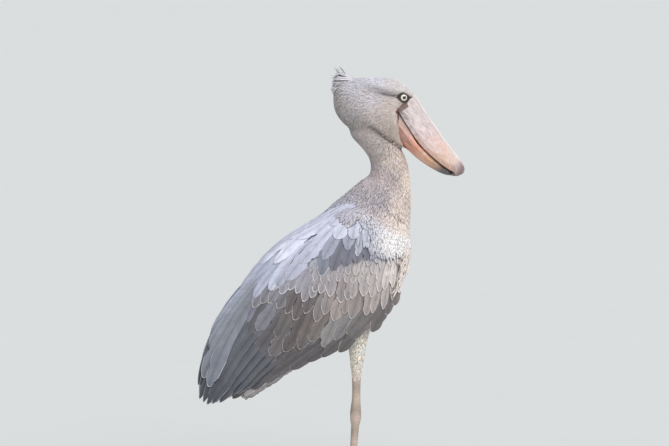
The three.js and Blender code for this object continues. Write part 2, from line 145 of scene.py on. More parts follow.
TOES = {"middle": (142, 4, 8.6, 5.4), "inner": (108, -27, 8.0, 5.2), "outer": (118, 33, 8.0, 5.2),
        "hallux": (74, 187, 7.8, 5.2)}  # length, angle, root radius, tip radius
EYE_R = 13.2
EYE = np.array([120.4, -42.0, 1078.5])


# ------------------------------------------------------------------ small maths
def along(rows, s):
    """Catmull-Rom through rows at positions s, going on straight beyond both ends."""
    rows = np.asarray(rows, float)
    s = np.atleast_1d(np.asarray(s, float))
    n = len(rows)
    inside = np.clip(s, 0, n - 1)
    i = np.clip(np.floor(inside).astype(int), 0, n - 2)
    t = (inside - i)[:, None]
    p, q, r, u = rows[np.maximum(i - 1, 0)], rows[i], rows[i + 1], rows[np.minimum(i + 2, n - 1)]
    got = 0.5 * (2 * q + (r - p) * t + (2 * p - 5 * q + 4 * r - u) * t ** 2 + (3 * q - p - 3 * r + u) * t ** 3)
    got = got + np.minimum(s, 0)[:, None] * (rows[1] - rows[0])
    return got + np.maximum(s - (n - 1), 0)[:, None] * (rows[-1] - rows[-2])


def smooth(x, lo, hi):
    t = np.clip((x - lo) / (hi - lo), 0, 1)
    return t * t * (3 - 2 * t)


def unit(v):
    return v / np.maximum(np.linalg.norm(v, axis=-1, keepdims=True), 1e-9)


def linear(rgb):
    """0-255 display colour to linear."""
    c = np.asarray(rgb, float) / 255
    return np.where(c <= 0.04045, c / 12.92, ((c + 0.055) / 1.055) ** 2.4)


def profile(kind, m, n):
    """Half of a section, as (t, y): t from the upper point 0 to the lower point 1, y as a share of the half-width."""
    if kind in ("round", "full"):
        f = np.pi * np.arange(n + 1) / n
        t = ((1 - np.cos(f)) / 2) ** (math.log(m) / math.log(0.5))
        y = np.clip(np.sin(f), 0, 1)
        return t, y ** 0.78 if kind == "full" else y
    if kind == "arch":
        up = round(n * 0.6)
        f = (np.pi / 2) * np.arange(up + 1) / up
        t2 = m + (1 - m) * np.arange(1, n - up + 1) / (n - up)
        t = np.concatenate([m * (1 - np.cos(f)), t2, [1]])
        y = np.concatenate([np.sin(f), 1 - 0.14 * ((t2 - m) / (1 - m)) ** 2, [0]])
        return t, y
    f = (np.pi / 2) * np.arange(n + 1) / n  # keel: flat above, round below
    t = np.concatenate([[0, 0], m + (1 - m) * (1 - np.cos(f))])
    y = np.concatenate([[0, 0.93], np.clip(np.cos(f), 0, 1) ** 0.8])
    t[-1], y[-1] = 1, 0
    return t, y


def loft(ribs, kind, n, steps, grow=0.0, s0=0.0, s1=None, detail=None):
    """A closed loft: vertices and faces. grow may be a function of s. detail is not used."""
    s1 = len(ribs) - 1 if s1 is None else s1
    count = int(round((s1 - s0) * steps))
    rings = []
    for i in range(count + 1):
        s = s0 + (s1 - s0) * i / count
        ax, az, bx, bz, w, m = along(ribs, s)[0]
        g = grow(s) if callable(grow) else grow
        t, y = profile(kind, m, n)
        a, b = np.array([ax, az]), np.array([bx, bz])
        up = unit(a - b)
        a, b = a + up * g, b - up * g
        xz = a + (b - a) * t[:, None]
        half = np.stack([xz[:, 0], -y * (w + g), xz[:, 1]], 1)
        other = half[-2:0:-1] * [1, -1, 1]
        rings.append(np.concatenate([half, other]))
    return close(rings)


def close(rings):
    """Faces between equal rings, with a middle point at each end."""
    n = len(rings[0])
    V = np.concatenate(rings + [rings[0].mean(0)[None], rings[-1].mean(0)[None]])
    F = []
    k = np.arange(n)
    k2 = (k + 1) % n
    for i in range(len(rings) - 1):
        F.append(np.stack([i * n + k, i * n + k2, (i + 1) * n + k2, (i + 1) * n + k], 1))
    quads = np.concatenate(F)
    last = (len(rings) - 1) * n
    tris = np.concatenate([
        np.stack([k2, k, np.full(n, len(V) - 2)], 1), np.stack([last + k, last + k2, np.full(n, len(V) - 1)], 1)])
    return V, [quads, tris]


def leg_loft(ribs, y0, y1, x1=0.0, n=24, steps=4, grow=0.0):
    z0, z1 = ribs[0][0], ribs[-1][0]
    rings = []
    f = 2 * np.pi * np.arange(n) / n
    for i in range((len(ribs) - 1) * steps + 1):
        z, back, front, w = along(ribs, i / steps)[0]
        s = (z0 - z) / (z0 - z1)
        g = grow(z) if callable(grow) else grow
        cx, hx, y = (back + front) / 2 + x1 * s, (front - back) / 2 + g, y0 + (y1 - y0) * s
        rings.append(np.stack([cx + hx * np.cos(f), y + (w + g) * np.sin(f), np.full(n, z)], 1))
    return close(rings)


def tube(points, n=16, steps=6):
    """A limb along rows of x, y, z, radius across, radius up."""
    rows = np.asarray(points, float)
    s = np.linspace(0, len(rows) - 1, (len(rows) - 1) * steps + 1)
    P = along(rows, s)
    way = unit(np.gradient(P[:, :3], axis=0))
    side = unit(np.stack([-way[:, 1], way[:, 0], 0 * way[:, 0]], 1))
    up = -np.cross(way, side)
    f = 2 * np.pi * np.arange(n) / n
    rings = [P[i, :3] + side[i] * (P[i, 3] * np.cos(f))[:, None] + up[i] * (P[i, 4] * np.sin(f))[:, None]
             for i in range(len(P))]
    return close(rings)


def toe_rows(length, angle, root, tip, grow=0.0):
    a = math.radians(angle)
    d = (math.cos(a), -math.sin(a))
    mix = lambda s: root + (tip - root) * s
    rows = [(0, TOE_ROOT_Z, root), (0.16, TOE_ROOT_Z - 3.5, root * 0.98), (0.4, root - SOLE + 1.0, root * 0.92),
            (0.66, mix(0.66) - SOLE + 1.0, mix(0.66) * 0.92), (0.82, mix(0.82) - SOLE + 0.6, mix(0.82) * 1.02),
            (1, tip - SOLE + 1.8, tip)]
    return [(FOOT_X + d[0] * length * s, -FOOT_Y + d[1] * length * s, z, r + grow, r * 0.92 + grow) for s, z, r in rows]


# ------------------------------------------------------------------ meshes
def place(V):
    V = np.array(V, float)
    V[:, 0] += SHIFT
    return V / 1000


def mesh_object(name, V, faces, material=None, slot=None, uv=None, attrs=None, is_smooth=True, ride=True):
    """An object from vertices in mm and a list of face arrays. uv: one pair for each vertex."""
    faces = [np.asarray(f, np.int64) for f in faces if len(f)]
    me = bpy.data.meshes.new(name)
    me.vertices.add(len(V))
    me.vertices.foreach_set("co", place(V).astype(np.float32).ravel())
    loops = np.concatenate([f.ravel() for f in faces])
    sizes = np.concatenate([np.full(len(f), f.shape[1]) for f in faces])
    starts = np.concatenate([[0], np.cumsum(sizes)[:-1]])
    me.loops.add(len(loops))
    me.loops.foreach_set("vertex_index", loops.astype(np.int32))
    me.polygons.add(len(sizes))
    me.polygons.foreach_set("loop_start", starts.astype(np.int32))
    me.polygons.foreach_set("use_smooth", np.full(len(sizes), is_smooth))
    me.update(calc_edges=True)
    me.validate()
    if uv is not None:
        layer = me.uv_layers.new(name="OFBake")
        index = np.empty(len(me.loops), np.int32)
        me.loops.foreach_get("vertex_index", index)
        layer.data.foreach_set("uv", np.asarray(uv, np.float32)[index].ravel())
    for key, value in (attrs or {}).items():
        value = np.asarray(value, np.float32)
        if value.ndim == 2:
            if value.shape[1] == 3:
                value = np.concatenate([value, np.ones((len(value), 1), np.float32)], 1)
            at = me.attributes.new(key, "FLOAT_COLOR", "POINT")
            at.data.foreach_set("color", value.ravel())
        else:
            at = me.attributes.new(key, "FLOAT", "POINT")
            at.data.foreach_set("value", value)
    ob = bpy.data.objects.new(name, me)
    bpy.context.scene.collection.objects.link(ob)
    if material:
        me.materials.append(material)
    if ride:
        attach(ob, "root")
    return ob


def both(V, faces):
    """The right side and its mirror image in one mesh."""
    n = len(V)
    W = np.concatenate([V, V * [1, -1, 1]])
    return W, [f for f in faces] + [f[:, ::-1] + n for f in faces]


def joined(parts):
    V, F, n = [], [], 0
    for v, faces in parts:
        V.append(v)
        F += [f + n for f in faces]
        n += len(v)
    return np.concatenate(V), F


# ------------------------------------------------------------------ materials
def nodes_of(name):
    mat = bpy.data.materials.new(name)
    mat.use_nodes = True
    nt = mat.node_tree
    for n in list(nt.nodes):
        nt.nodes.remove(n)
    out = nt.nodes.new("ShaderNodeOutputMaterial")
    bsdf = nt.nodes.new("ShaderNodeBsdfPrincipled")
    nt.links.new(bsdf.outputs[0], out.inputs[0])
    return mat, nt, bsdf


class Maker:
    """Short names for the nodes used below."""

    def __init__(self, nt):
        self.nt = nt

    def new(self, kind, **props):
        node = self.nt.nodes.new(kind)
        for k, v in props.items():
            setattr(node, k, v)
        return node

    def put(self, socket, value):
        if hasattr(value, "is_linked") or isinstance(value, bpy.types.NodeSocket):
            self.nt.links.new(value, socket)
        elif isinstance(value, (tuple, list, np.ndarray)):
            v = [float(x) for x in value]
            socket.default_value = v + [1.0] if len(v) == 3 and len(socket.default_value) == 4 else v
        else:
            socket.default_value = value

    def math(self, op, a, b=0.0, c=None, clamp=False):
        n = self.new("ShaderNodeMath", operation=op, use_clamp=clamp)
        self.put(n.inputs[0], a)
        self.put(n.inputs[1], b)
        if c is not None:
            self.put(n.inputs[2], c)
        return n.outputs[0]

    def step(self, x, lo, hi):
        n = self.new("ShaderNodeMapRange", interpolation_type="SMOOTHSTEP")
        self.put(n.inputs[0], x)
        self.put(n.inputs[1], lo)
        self.put(n.inputs[2], hi)
        self.put(n.inputs[3], 0.0)
        self.put(n.inputs[4], 1.0)
        return n.outputs[0]

    def mix(self, fac, a, b, blend="MIX"):
        n = self.new("ShaderNodeMix", data_type="RGBA", blend_type=blend)
        self.put(n.inputs[0], fac)
        self.put(n.inputs[6], a)
        self.put(n.inputs[7], b)
        return n.outputs[2]

    def attr(self, name, colour=False):
        n = self.new("ShaderNodeAttribute", attribute_name=name)
        return n.outputs["Color"] if colour else n.outputs["Fac"]

    def noise(self, scale, detail=3.0, rough=0.5, vector=None):
        n = self.new("ShaderNodeTexNoise")
        n.inputs["Scale"].default_value = scale
        n.inputs["Detail"].default_value = detail
        n.inputs["Roughness"].default_value = rough
        if vector is not None:
            self.put(n.inputs["Vector"], vector)
        return n.outputs["Fac"]

    def coords(self, scale=(1, 1, 1), turn=(0, 0, 0)):
        c = self.new("ShaderNodeTexCoord")
        m = self.new("ShaderNodeMapping")
        self.nt.links.new(c.outputs["Object"], m.inputs["Vector"])
        m.inputs["Scale"].default_value = scale
        m.inputs["Rotation"].default_value = turn
        return m.outputs[0]

    def bump(self, height, strength, distance, normal=None):
        n = self.new("ShaderNodeBump")
        n.inputs["Strength"].default_value = strength
        n.inputs["Distance"].default_value = distance
        self.put(n.inputs["Height"], height)
        if normal is not None:
            self.put(n.inputs["Normal"], normal)
        return n.outputs[0]


def plume_material():
    """Small feathers: the colour each one carries, with painted shade toward the root and underneath and painted light
    toward the tip, in fine strands along it.
    """
    mat, nt, bsdf = nodes_of("plume")
    k = Maker(nt)
    col = k.attr("Col", True)
    across, run = k.attr("across"), k.attr("run")
    vec = nt.nodes.new("ShaderNodeCombineXYZ")
    k.put(vec.inputs[0], k.math("MULTIPLY", across, 1.7))
    k.put(vec.inputs[1], k.math("MULTIPLY", run, 0.10))
    k.put(vec.inputs[2], k.attr("seed"))
    strand = k.noise(1.0, 3, 0.7, vec.outputs[0])
    fine = k.noise(900, 2, 0.6, k.coords())
    tone = k.math("ADD", k.math("MULTIPLY_ADD", strand, 1.15, 0.34), k.math("MULTIPLY", fine, 0.22))
    col = k.mix(1.0, col, tone, "MULTIPLY")
    k.put(bsdf.inputs["Base Color"], col)
    bsdf.inputs["Roughness"].default_value = 0.8
    bsdf.inputs["Specular IOR Level"].default_value = 0.2
    k.put(bsdf.inputs["Normal"], k.bump(strand, 0.6, 0.0005))
    return mat


def vane_material():
    """Large feathers: a coloured vane, a shaft, fine barbs and a pale fringe along the edge."""
    mat, nt, bsdf = nodes_of("vane")
    k = Maker(nt)
    col = k.attr("Col", True)
    edge, shaft, barb, fringe, pale, seed = (k.attr(n) for n in ("edge", "shaft", "barb", "fringe", "pale", "seed"))

    def along_barbs(fine, cross, octaves, more):
        vec = nt.nodes.new("ShaderNodeCombineXYZ")
        k.put(vec.inputs[0], k.math("MULTIPLY", barb, fine))
        k.put(vec.inputs[1], k.math("MULTIPLY", shaft, cross))
        k.put(vec.inputs[2], k.math("ADD", seed, more))
        return k.noise(1.0, octaves, 0.65, vec.outputs[0])

    streak = along_barbs(0.40, 0.04, 4, 0.0)
    broad = along_barbs(0.055, 0.05, 2, 31.0)
    cloud = k.noise(38, 3, 0.55, k.coords())
    tone = k.math("ADD", k.math("MULTIPLY_ADD", streak, 0.52, 0.72), k.math("MULTIPLY_ADD", cloud, 0.34, -0.17))
    tone = k.math("ADD", tone, k.math("MULTIPLY_ADD", k.step(shaft, 0.0, 11.0), 0.16, -0.07))
    tone = k.math("ADD", tone, k.math("MULTIPLY_ADD", broad, 0.40, -0.20))
    col = k.mix(1.0, col, tone, "MULTIPLY")
    brown = k.math("MULTIPLY", k.step(broad, 0.48, 0.72), 0.30)
    col = k.mix(brown, col, k.mix(1.0, col, (1.05, 0.92, 0.80), "MULTIPLY"))
    ragged = k.math("MULTIPLY_ADD", streak, 2.2, -1.1)
    near = k.math("SUBTRACT", 1.0, k.step(k.math("ADD", edge, ragged), k.math("MULTIPLY", fringe, 0.45),
                                           k.math("ADD", fringe, 0.55)))
    near = k.math("MULTIPLY", near, k.math("MINIMUM", k.math("MULTIPLY", pale, 1.0), 1.0), clamp=True)
    col = k.mix(near, col, k.attr("Fringe", True))
    dark = k.math("MULTIPLY", k.math("SUBTRACT", 1.0, k.step(shaft, 0.25, 0.9)), 0.40)
    col = k.mix(dark, col, (0.03, 0.03, 0.035))
    k.put(bsdf.inputs["Base Color"], col)
    bsdf.inputs["Roughness"].default_value = 0.66
    bsdf.inputs["Specular IOR Level"].default_value = 0.25
    wave = k.math("SINE", k.math("MULTIPLY", barb, 5.5))
    k.put(bsdf.inputs["Normal"], k.bump(k.math("ADD", wave, k.math("MULTIPLY", streak, 2.4)), 0.4, 0.0003))
    return mat


def skin_material():
    """Under the coat the plumage's colour, darkened as painted shade between the feathers; bare and scaly on face and
    feet.
    """
    mat, nt, bsdf = nodes_of("skin")
    k = Maker(nt)
    col = k.attr("Col", True)
    spots = k.noise(140, 4, 0.6, k.coords())
    col = k.mix(1.0, col, k.math("MULTIPLY_ADD", spots, 0.6, 0.7), "MULTIPLY")
    cells = k.new("ShaderNodeTexVoronoi", feature="DISTANCE_TO_EDGE")
    k.put(cells.inputs["Vector"], k.coords((1, 1, 0.62)))
    cells.inputs["Scale"].default_value = 480
    line = k.math("SUBTRACT", 1.0, k.step(cells.outputs["Distance"], 0.0, 0.18))
    scaly = k.math("MULTIPLY", line, k.attr("scaly"))
    col = k.mix(k.math("MULTIPLY", scaly, 0.22), col, (0.10, 0.08, 0.065))
    k.put(bsdf.inputs["Base Color"], col)
    bsdf.inputs["Roughness"].default_value = 0.6
    bsdf.inputs["Specular IOR Level"].default_value = 0.35
    low = k.bump(k.noise(420, 3, 0.6, k.coords()), 0.35, 0.0006)
    k.put(bsdf.inputs["Normal"], k.bump(k.math("SUBTRACT", 1.0, scaly), 0.6, 0.0007, low))
    return mat


def bill_material(name):
    """Horn: the colours it carries, with fine streaks along its length and small dark flecks; the dark mix lays painted
    shade along the mouth line, in the grooves and folds, under the lower edge and on the lining behind the cutting
    edges.
    """
    mat, nt, bsdf = nodes_of(name)
    k = Maker(nt)
    base = k.attr("Col", True)
    run, round_ = k.attr("run"), k.attr("round")
    vec = nt.nodes.new("ShaderNodeCombineXYZ")
    k.put(vec.inputs[0], k.math("MULTIPLY", run, 0.022))
    k.put(vec.inputs[1], k.math("MULTIPLY", round_, 0.24))
    streak = k.noise(1.0, 5, 0.68, vec.outputs[0])
    cloud = k.noise(48, 4, 0.6, k.coords())
    base = k.mix(k.math("MULTIPLY", k.step(cloud, 0.40, 0.70), 0.35), base, linear((206, 196, 198)))
    base = k.mix(k.math("MULTIPLY", k.step(streak, 0.50, 0.70), k.attr("lines")), base, linear((132, 112, 108)))
    light = k.math("MULTIPLY", k.step(streak, 0.50, 0.30), 0.35)
    base = k.mix(light, base, linear((240, 230, 222)))
    fleck = k.noise(330, 3, 0.6, k.coords())
    base = k.mix(k.math("MULTIPLY", k.step(fleck, 0.60, 0.70), 0.4), base, linear((120, 98, 92)))
    # painted shade: the dark attribute darkens the mouth line, grooves, folds, lower edge and the lining behind the
    # cutting edges
    base = k.mix(k.attr("dark"), base, linear((62, 54, 55)))
    k.put(bsdf.inputs["Base Color"], base)
    k.put(bsdf.inputs["Roughness"], k.math("MULTIPLY_ADD", cloud, 0.3, 0.34))
    bsdf.inputs["Specular IOR Level"].default_value = 0.4
    first = k.bump(streak, 0.45, 0.0008)
    k.put(bsdf.inputs["Normal"], k.bump(k.noise(300, 4, 0.6, k.coords()), 0.22, 0.0005, first))
    return mat


def simple_material(name, colour, rough, spec=0.5, coat=0.0, noise_scale=200, amount=0.3, bump=0.0):
    mat, nt, bsdf = nodes_of(name)
    k = Maker(nt)
    n = k.noise(noise_scale, 3, 0.6, k.coords())
    base = colour if isinstance(colour, bpy.types.NodeSocket) else k.mix(1.0, linear(colour), k.math("MULTIPLY_ADD", n, amount, 1 - amount / 2), "MULTIPLY")
    k.put(bsdf.inputs["Base Color"], base)
    bsdf.inputs["Roughness"].default_value = rough
    bsdf.inputs["Specular IOR Level"].default_value = spec
    if coat:
        bsdf.inputs["Coat Weight"].default_value = coat
        bsdf.inputs["Coat Roughness"].default_value = 0.03
    if bump:
        k.put(bsdf.inputs["Normal"], k.bump(n, 0.4, bump))
    return mat


def eye_material():
    mat, nt, bsdf = nodes_of("eye_ball")
    k = Maker(nt)
    col = k.attr("Col", True)
    k.put(bsdf.inputs["Base Color"], k.mix(1.0, col, k.math("MULTIPLY_ADD", k.noise(900, 2, 0.6, k.coords()), 0.2, 0.9), "MULTIPLY"))
    bsdf.inputs["Roughness"].default_value = 0.12
    bsdf.inputs["Coat Weight"].default_value = 1.0
    bsdf.inputs["Coat Roughness"].default_value = 0.02
    return mat


# ------------------------------------------------------------------ plumage colours, by place in the side frame
TONES = [
    # x, z, display colour
    (55, 1128, (222, 220, 228)), (135, 1104, (228, 221, 219)), (105, 1052, (216, 202, 193)), (75, 1030, (208, 195, 190)),
    (92, 1000, (204, 191, 180)), (-38, 1075, (189, 182, 180)), (-28, 1010, (183, 176, 174)), (45, 1085, (212, 205, 209)),
    (0, 1118, (214, 211, 219)), (-45, 1120, (198, 193, 197)), (20, 1010, (188, 178, 175)), (60, 965, (194, 183, 178)),
    (95, 930, (216, 202, 193)), (138, 885, (250, 232, 217)), (36, 905, (182, 171, 174)), (88, 890, (198, 185, 184)),
    (60, 840, (182, 175, 180)), (120, 820, (226, 210, 201)), (-20, 815, (184, 182, 194)), (-60, 795, (186, 186, 200)),
    (-140, 735, (204, 207, 224)), (142, 750, (240, 226, 216)), (128, 660, (224, 212, 204)), (95, 575, (222, 211, 202)),
    (45, 500, (230, 219, 208)), (0, 450, (255, 245, 231)), (-100, 420, (214, 206, 202)), (-240, 390, (196, 192, 194)),
    (-330, 440, (130, 132, 142)), (2, 400, (254, 243, 228)), (0, 360, (232, 218, 204)),
]


def tone_at(P):
    """The plumage's colour at points (x, y, z), linear, with painted shade in a band over the eye, under the brow."""
    C = np.array([[x, z] for x, z, _ in TONES], float)
    K = np.array([linear(c) for _, _, c in TONES])
    d = ((P[:, None, [0, 2]] - C[None]) ** 2).sum(2) + 60.0
    w = d ** -1.6
    # painted shade: a darker band over the eye, where the brow ridge shades it
    brow_shade = np.exp(-(line_distance(P, [(45, 1106), (76, 1098), (108, 1090)]) / 6.5) ** 2)
    return (w @ K) / w.sum(1, keepdims=True) * (1 - 0.24 * brow_shade)[:, None]


FLOW = [
    # x, z, direction of the lie of the coat in the side view
    (150, 1098, -0.8, 0.6), (120, 1116, -0.92, 0.38), (90, 1128, -0.98, 0.12), (50, 1133, -1, 0), (10, 1130, -1, 0.05),
    (-30, 1124, -0.93, 0.3), (-52, 1108, -0.9, 0.3), (105, 1062, -0.86, -0.2), (100, 1030, -0.8, -0.5), (60, 1090, -0.97, -0.05),
    (60, 1050, -0.88, -0.42), (20, 1080, -0.93, -0.2), (0, 1050, -0.7, -0.65), (-40, 1075, -0.65, -0.75), (-48, 1050, -0.2, -0.98),
    (-30, 1010, 0.35, -0.94), (100, 990, -0.65, -0.76), (60, 1000, -0.62, -0.78), (90, 965, -0.4, -0.9), (125, 940, 0.05, -1),
    (40, 975, -0.1, -1), (0, 965, 0.45, -0.9), (26, 926, 0.32, -0.95), (34, 900, 0.0, -1), (30, 877, -0.4, -0.92),
    (8, 862, -0.68, -0.73), (90, 900, 0.06, -1), (141, 885, 0.12, -0.99), (147, 800, 0.0, -1), (80, 840, -0.15, -0.99),
    (-40, 820, -0.76, -0.65), (-105, 768, -0.82, -0.57), (-180, 712, -0.78, -0.62), (-240, 660, -0.66, -0.75),
    (-290, 590, -0.55, -0.84), (-330, 500, -0.45, -0.9), (0, 770, -0.6, -0.8), (60, 770, -0.35, -0.94), (143, 720, -0.08, -1),
    (124, 640, -0.3, -0.95), (81, 550, -0.55, -0.83), (30, 480, -0.75, -0.6), (-80, 425, -0.92, -0.35), (-180, 390, -0.93, -0.33),
    (-270, 380, -0.9, -0.4),
]


def flow_at(P):
    C = np.array([f[:2] for f in FLOW], float)
    D = np.array([f[2:] for f in FLOW], float)
    d = ((P[:, None, [0, 2]] - C[None]) ** 2).sum(2) + 25.0
    w = d ** -2.0
    v = (w @ D) / w.sum(1, keepdims=True)
    return unit(np.stack([v[:, 0], np.zeros(len(P)), v[:, 1]], 1))


# ------------------------------------------------------------------ the skin
def line_distance(P, line):
    """Distance from points to a polyline in the side view."""
    best = np.full(len(P), 1e9)
    q = P[:, [0, 2]]
    for (x0, z0), (x1, z1) in zip(line[:-1], line[1:]):
        a, b = np.array([x0, z0], float), np.array([x1, z1], float)
        t = np.clip(((q - a) @ (b - a)) / ((b - a) @ (b - a)), 0, 1)
        best = np.minimum(best, np.linalg.norm(q - (a + t[:, None] * (b - a)), axis=1))
    return best


BROW = [(146, 1080), (130, 1090), (112, 1093.5), (90, 1094.5), (66, 1098), (46, 1104)]
BROW_GROOVE = [(106, 1083), (92, 1085.5), (78, 1087.5), (62, 1092), (50, 1098)]
LORE = [(147, 1074), (135, 1067), (122, 1058), (112, 1049), (107, 1042)]
JAW_GROOVE = [(40, 1006), (58, 990), (78, 975), (108, 956), (132, 936)]
MOUTH = [(106, 1045), (133, 1003.5), (151, 975), (171.5, 949), (196, 925.5), (220, 905.5), (238.5, 892.5), (251, 885)]


def bare_parts(P):
    """How bare the skin is round the eye (an almond, drawn out forward) and over the lore."""
    dx, dz = P[:, 0] - EYE[0], P[:, 2] - EYE[2]
    reach = np.where(dx < 0, 18.5, 25.0)
    lens = np.abs(dz + 0.10 * dx) / (14.5 * np.clip(1 - np.abs(dx / reach) ** 1.7, 0.02, 1))
    lid = 1 - smooth(lens, 0.82, 1.12)
    line = line_distance(P, LORE)
    wide = 5.0 * smooth(P[:, 0], 108, 132)
    lore = 1 - smooth(line, 3.4 + wide, 6.0 + wide)
    side = (np.abs(P[:, 1]) > 20) & (P[:, 2] > 1000)
    return lid * side, lore * side


def inside_zone(P, grow=0.0):
    """Which points lie in the bare bill's outline, made larger by grow."""
    x, z = P[:, 0], P[:, 2]
    poly = np.array(BILL_ZONE)
    inside = np.zeros(len(P), bool)
    j = len(poly) - 1
    for i in range(len(poly)):
        (xi, zi), (xj, zj) = poly[i], poly[j]
        cross = ((zi > z) != (zj > z)) & (x < (xj - xi) * (z - zi) / (zj - zi + 1e-9) + xi)
        inside ^= cross
        j = i
    d = line_distance(P, list(BILL_ZONE) + [BILL_ZONE[0]])
    return inside | (d < grow) if grow >= 0 else inside & (d > -grow)


def remeshed(name, parts, voxel, rounds):
    V, F = joined(parts)
    ob = mesh_object(name, V, F, ride=False)
    mod = ob.modifiers.new("one", "REMESH")
    mod.mode = "VOXEL"
    mod.voxel_size = voxel / 1000
    relax = ob.modifiers.new("relax", "SMOOTH")
    relax.factor = 0.5
    relax.iterations = rounds
    apply_all(ob)
    return ob


def thin_out(ob, weight, ratio):
    """Fewer triangles where the coat covers the skin (weight 1)."""
    group = ob.vertex_groups.new(name="coated")
    for level in (0.0, 0.25, 0.5, 0.75, 1.0):
        group.add(np.nonzero(np.abs(weight - level) <= 0.125)[0].tolist(), level, "REPLACE")
    thin = ob.modifiers.new("thin", "DECIMATE")
    thin.ratio = ratio
    thin.vertex_group = "coated"
    thin.vertex_group_factor = 8.0
    apply_all(ob)
    ob.vertex_groups.clear()


def make_skin():
    head_coat = lambda s: -HEAD_COAT
    body_coat = lambda s: -(NECK_COAT + (BODY_COAT - NECK_COAT) * min(max((s - 5) / 5, 0), 1))
    tibia_coat = lambda z: -(0.2 + 3.3 * min(max((z - 385) / 60, 0), 1))
    tibia = both(*leg_loft(TIBIA_RIBS, -HIP_Y, -HEEL_Y, grow=tibia_coat))
    ob = remeshed("skin", [loft(HEAD_RIBS, "full", 40, 8, head_coat), loft(BODY_RIBS, "round", 40, 6, body_coat),
                           both(*leg_loft(TIBIA_RIBS[:5], -HIP_Y, -HIP_Y + 3.5, grow=tibia_coat))], SKIN_VOXEL, 3)
    P, _ = coords_of(ob.data)
    thin_out(ob, 1 - smooth(P[:, 2], 960, 1000), 0.27)
    cut_v, cut_f = prism([(x, z) for x, z in inset(BILL_ZONE, 5)], 90)
    cutter = mesh_object("cutter", cut_v, cut_f, is_smooth=False, ride=False)
    cut = ob.modifiers.new("cut", "BOOLEAN")
    cut.operation = "DIFFERENCE"
    cut.solver = "EXACT"
    cut.object = cutter
    apply_all(ob)
    bpy.data.objects.remove(cutter)
    shape_head(ob)

    legs = [tibia, both(*leg_loft(TARSUS_RIBS, -HEEL_Y, -FOOT_Y, FOOT_X, grow=-0.2)),
            both(*leg_loft([[272, -12.6, 12.8, 11.6], [262, -13.3, 13.5, 12.4], [252, -14.0, 14.0, 12.8]], -HEEL_Y, -HEEL_Y, grow=-0.2))]
    for length, angle, root, tip in TOES.values():
        legs.append(both(*tube(toe_rows(length, angle, root, tip, -0.15))))
    leg = remeshed("legs", legs, 1.5, 2)
    V, N = coords_of(leg.data)
    lift = scutes(V, N)
    V = V + N * lift[:, None]
    V[:, 2] = np.maximum(V[:, 2], 0.0)
    leg.data.vertices.foreach_set("co", place(V).astype(np.float32).ravel())
    thin_out(leg, 0.25 + 0.75 * smooth(V[:, 2], 395, 420), 0.6)
    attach(ob, "root")
    return ob, leg


def scutes(V, N):
    """Cross plates on the front of the shank and the top of each toe, and knobbly skin at the heel and between."""
    x, y, z = V[:, 0], np.abs(V[:, 1]), V[:, 2]
    lift = np.zeros(len(V))
    front = smooth(N[:, 0], 0.1, 0.6) * smooth(z, 28, 40) * (1 - smooth(z, 346, 362))
    lift += 1.3 * (np.abs(np.sin(np.pi * z / 9.5)) ** 0.45 - 0.7) * front
    for length, angle, root, tip in TOES.values():
        a = math.radians(angle)
        dx, dy = x - FOOT_X, -(y - FOOT_Y)
        run, off = dx * math.cos(a) - dy * math.sin(a), dx * math.sin(a) + dy * math.cos(a)
        near = np.exp(-(off / 7.0) ** 4) * (run > 6) * (run < length) * (z < 30)
        lift += 1.0 * (np.abs(np.sin(np.pi * run / 5.6)) ** 0.45 - 0.7) * smooth(N[:, 2], 0.0, 0.5) * near
        joint = sum(np.exp(-((run - length * f) / 5.0) ** 2) for f in (0.4, 0.7, 0.93))
        lift += 0.9 * joint * near * (1 - smooth(N[:, 2], 0.3, 0.9)) * smooth(z, 1.0, 3.0)
    knob = np.sin(x * 1.1 + z * 0.4) * np.sin(y * 1.2 - z * 0.9) * np.sin(z * 1.25)
    lift += 0.35 * knob * (1 - np.clip(front, 0, 1)) * smooth(z, 3, 8) * (1 - smooth(z, 346, 362))
    return lift


def inset(poly, d):
    """A closed outline moved inward by d."""
    P = np.array(poly, float)
    area = 0.5 * np.sum(P[:, 0] * np.roll(P[:, 1], -1) - np.roll(P[:, 0], -1) * P[:, 1])
    n1 = unit(np.roll(P, -1, 0) - P)
    n0 = unit(P - np.roll(P, 1, 0))
    normal = unit(np.stack([-(n0[:, 1] + n1[:, 1]), n0[:, 0] + n1[:, 0]], 1)) * (1 if area > 0 else -1)
    return (P + normal * d).tolist()


def prism(outline, half):
    n = len(outline)
    P = np.array(outline, float)
    V = np.concatenate([np.stack([P[:, 0], np.full(n, y), P[:, 1]], 1) for y in (-half, half)])
    k = np.arange(n)
    k2 = (k + 1) % n
    quads = np.stack([k, k2, k2 + n, k + n], 1)
    return V, [quads, k[None, ::-1], k[None] + n]


def apply_all(ob):
    dg = bpy.context.evaluated_depsgraph_get()
    made = bpy.data.meshes.new_from_object(ob.evaluated_get(dg))
    made.name = ob.name
    old = ob.data
    ob.modifiers.clear()
    ob.data = made
    bpy.data.meshes.remove(old)


def coords_of(me):
    V = np.empty(len(me.vertices) * 3, np.float32)
    me.vertices.foreach_get("co", V)
    V = V.reshape(-1, 3).astype(float) * 1000
    V[:, 0] -= SHIFT
    N = np.empty(len(me.vertices) * 3, np.float32)
    me.vertices.foreach_get("normal", N)
    return V, N.reshape(-1, 3).astype(float)


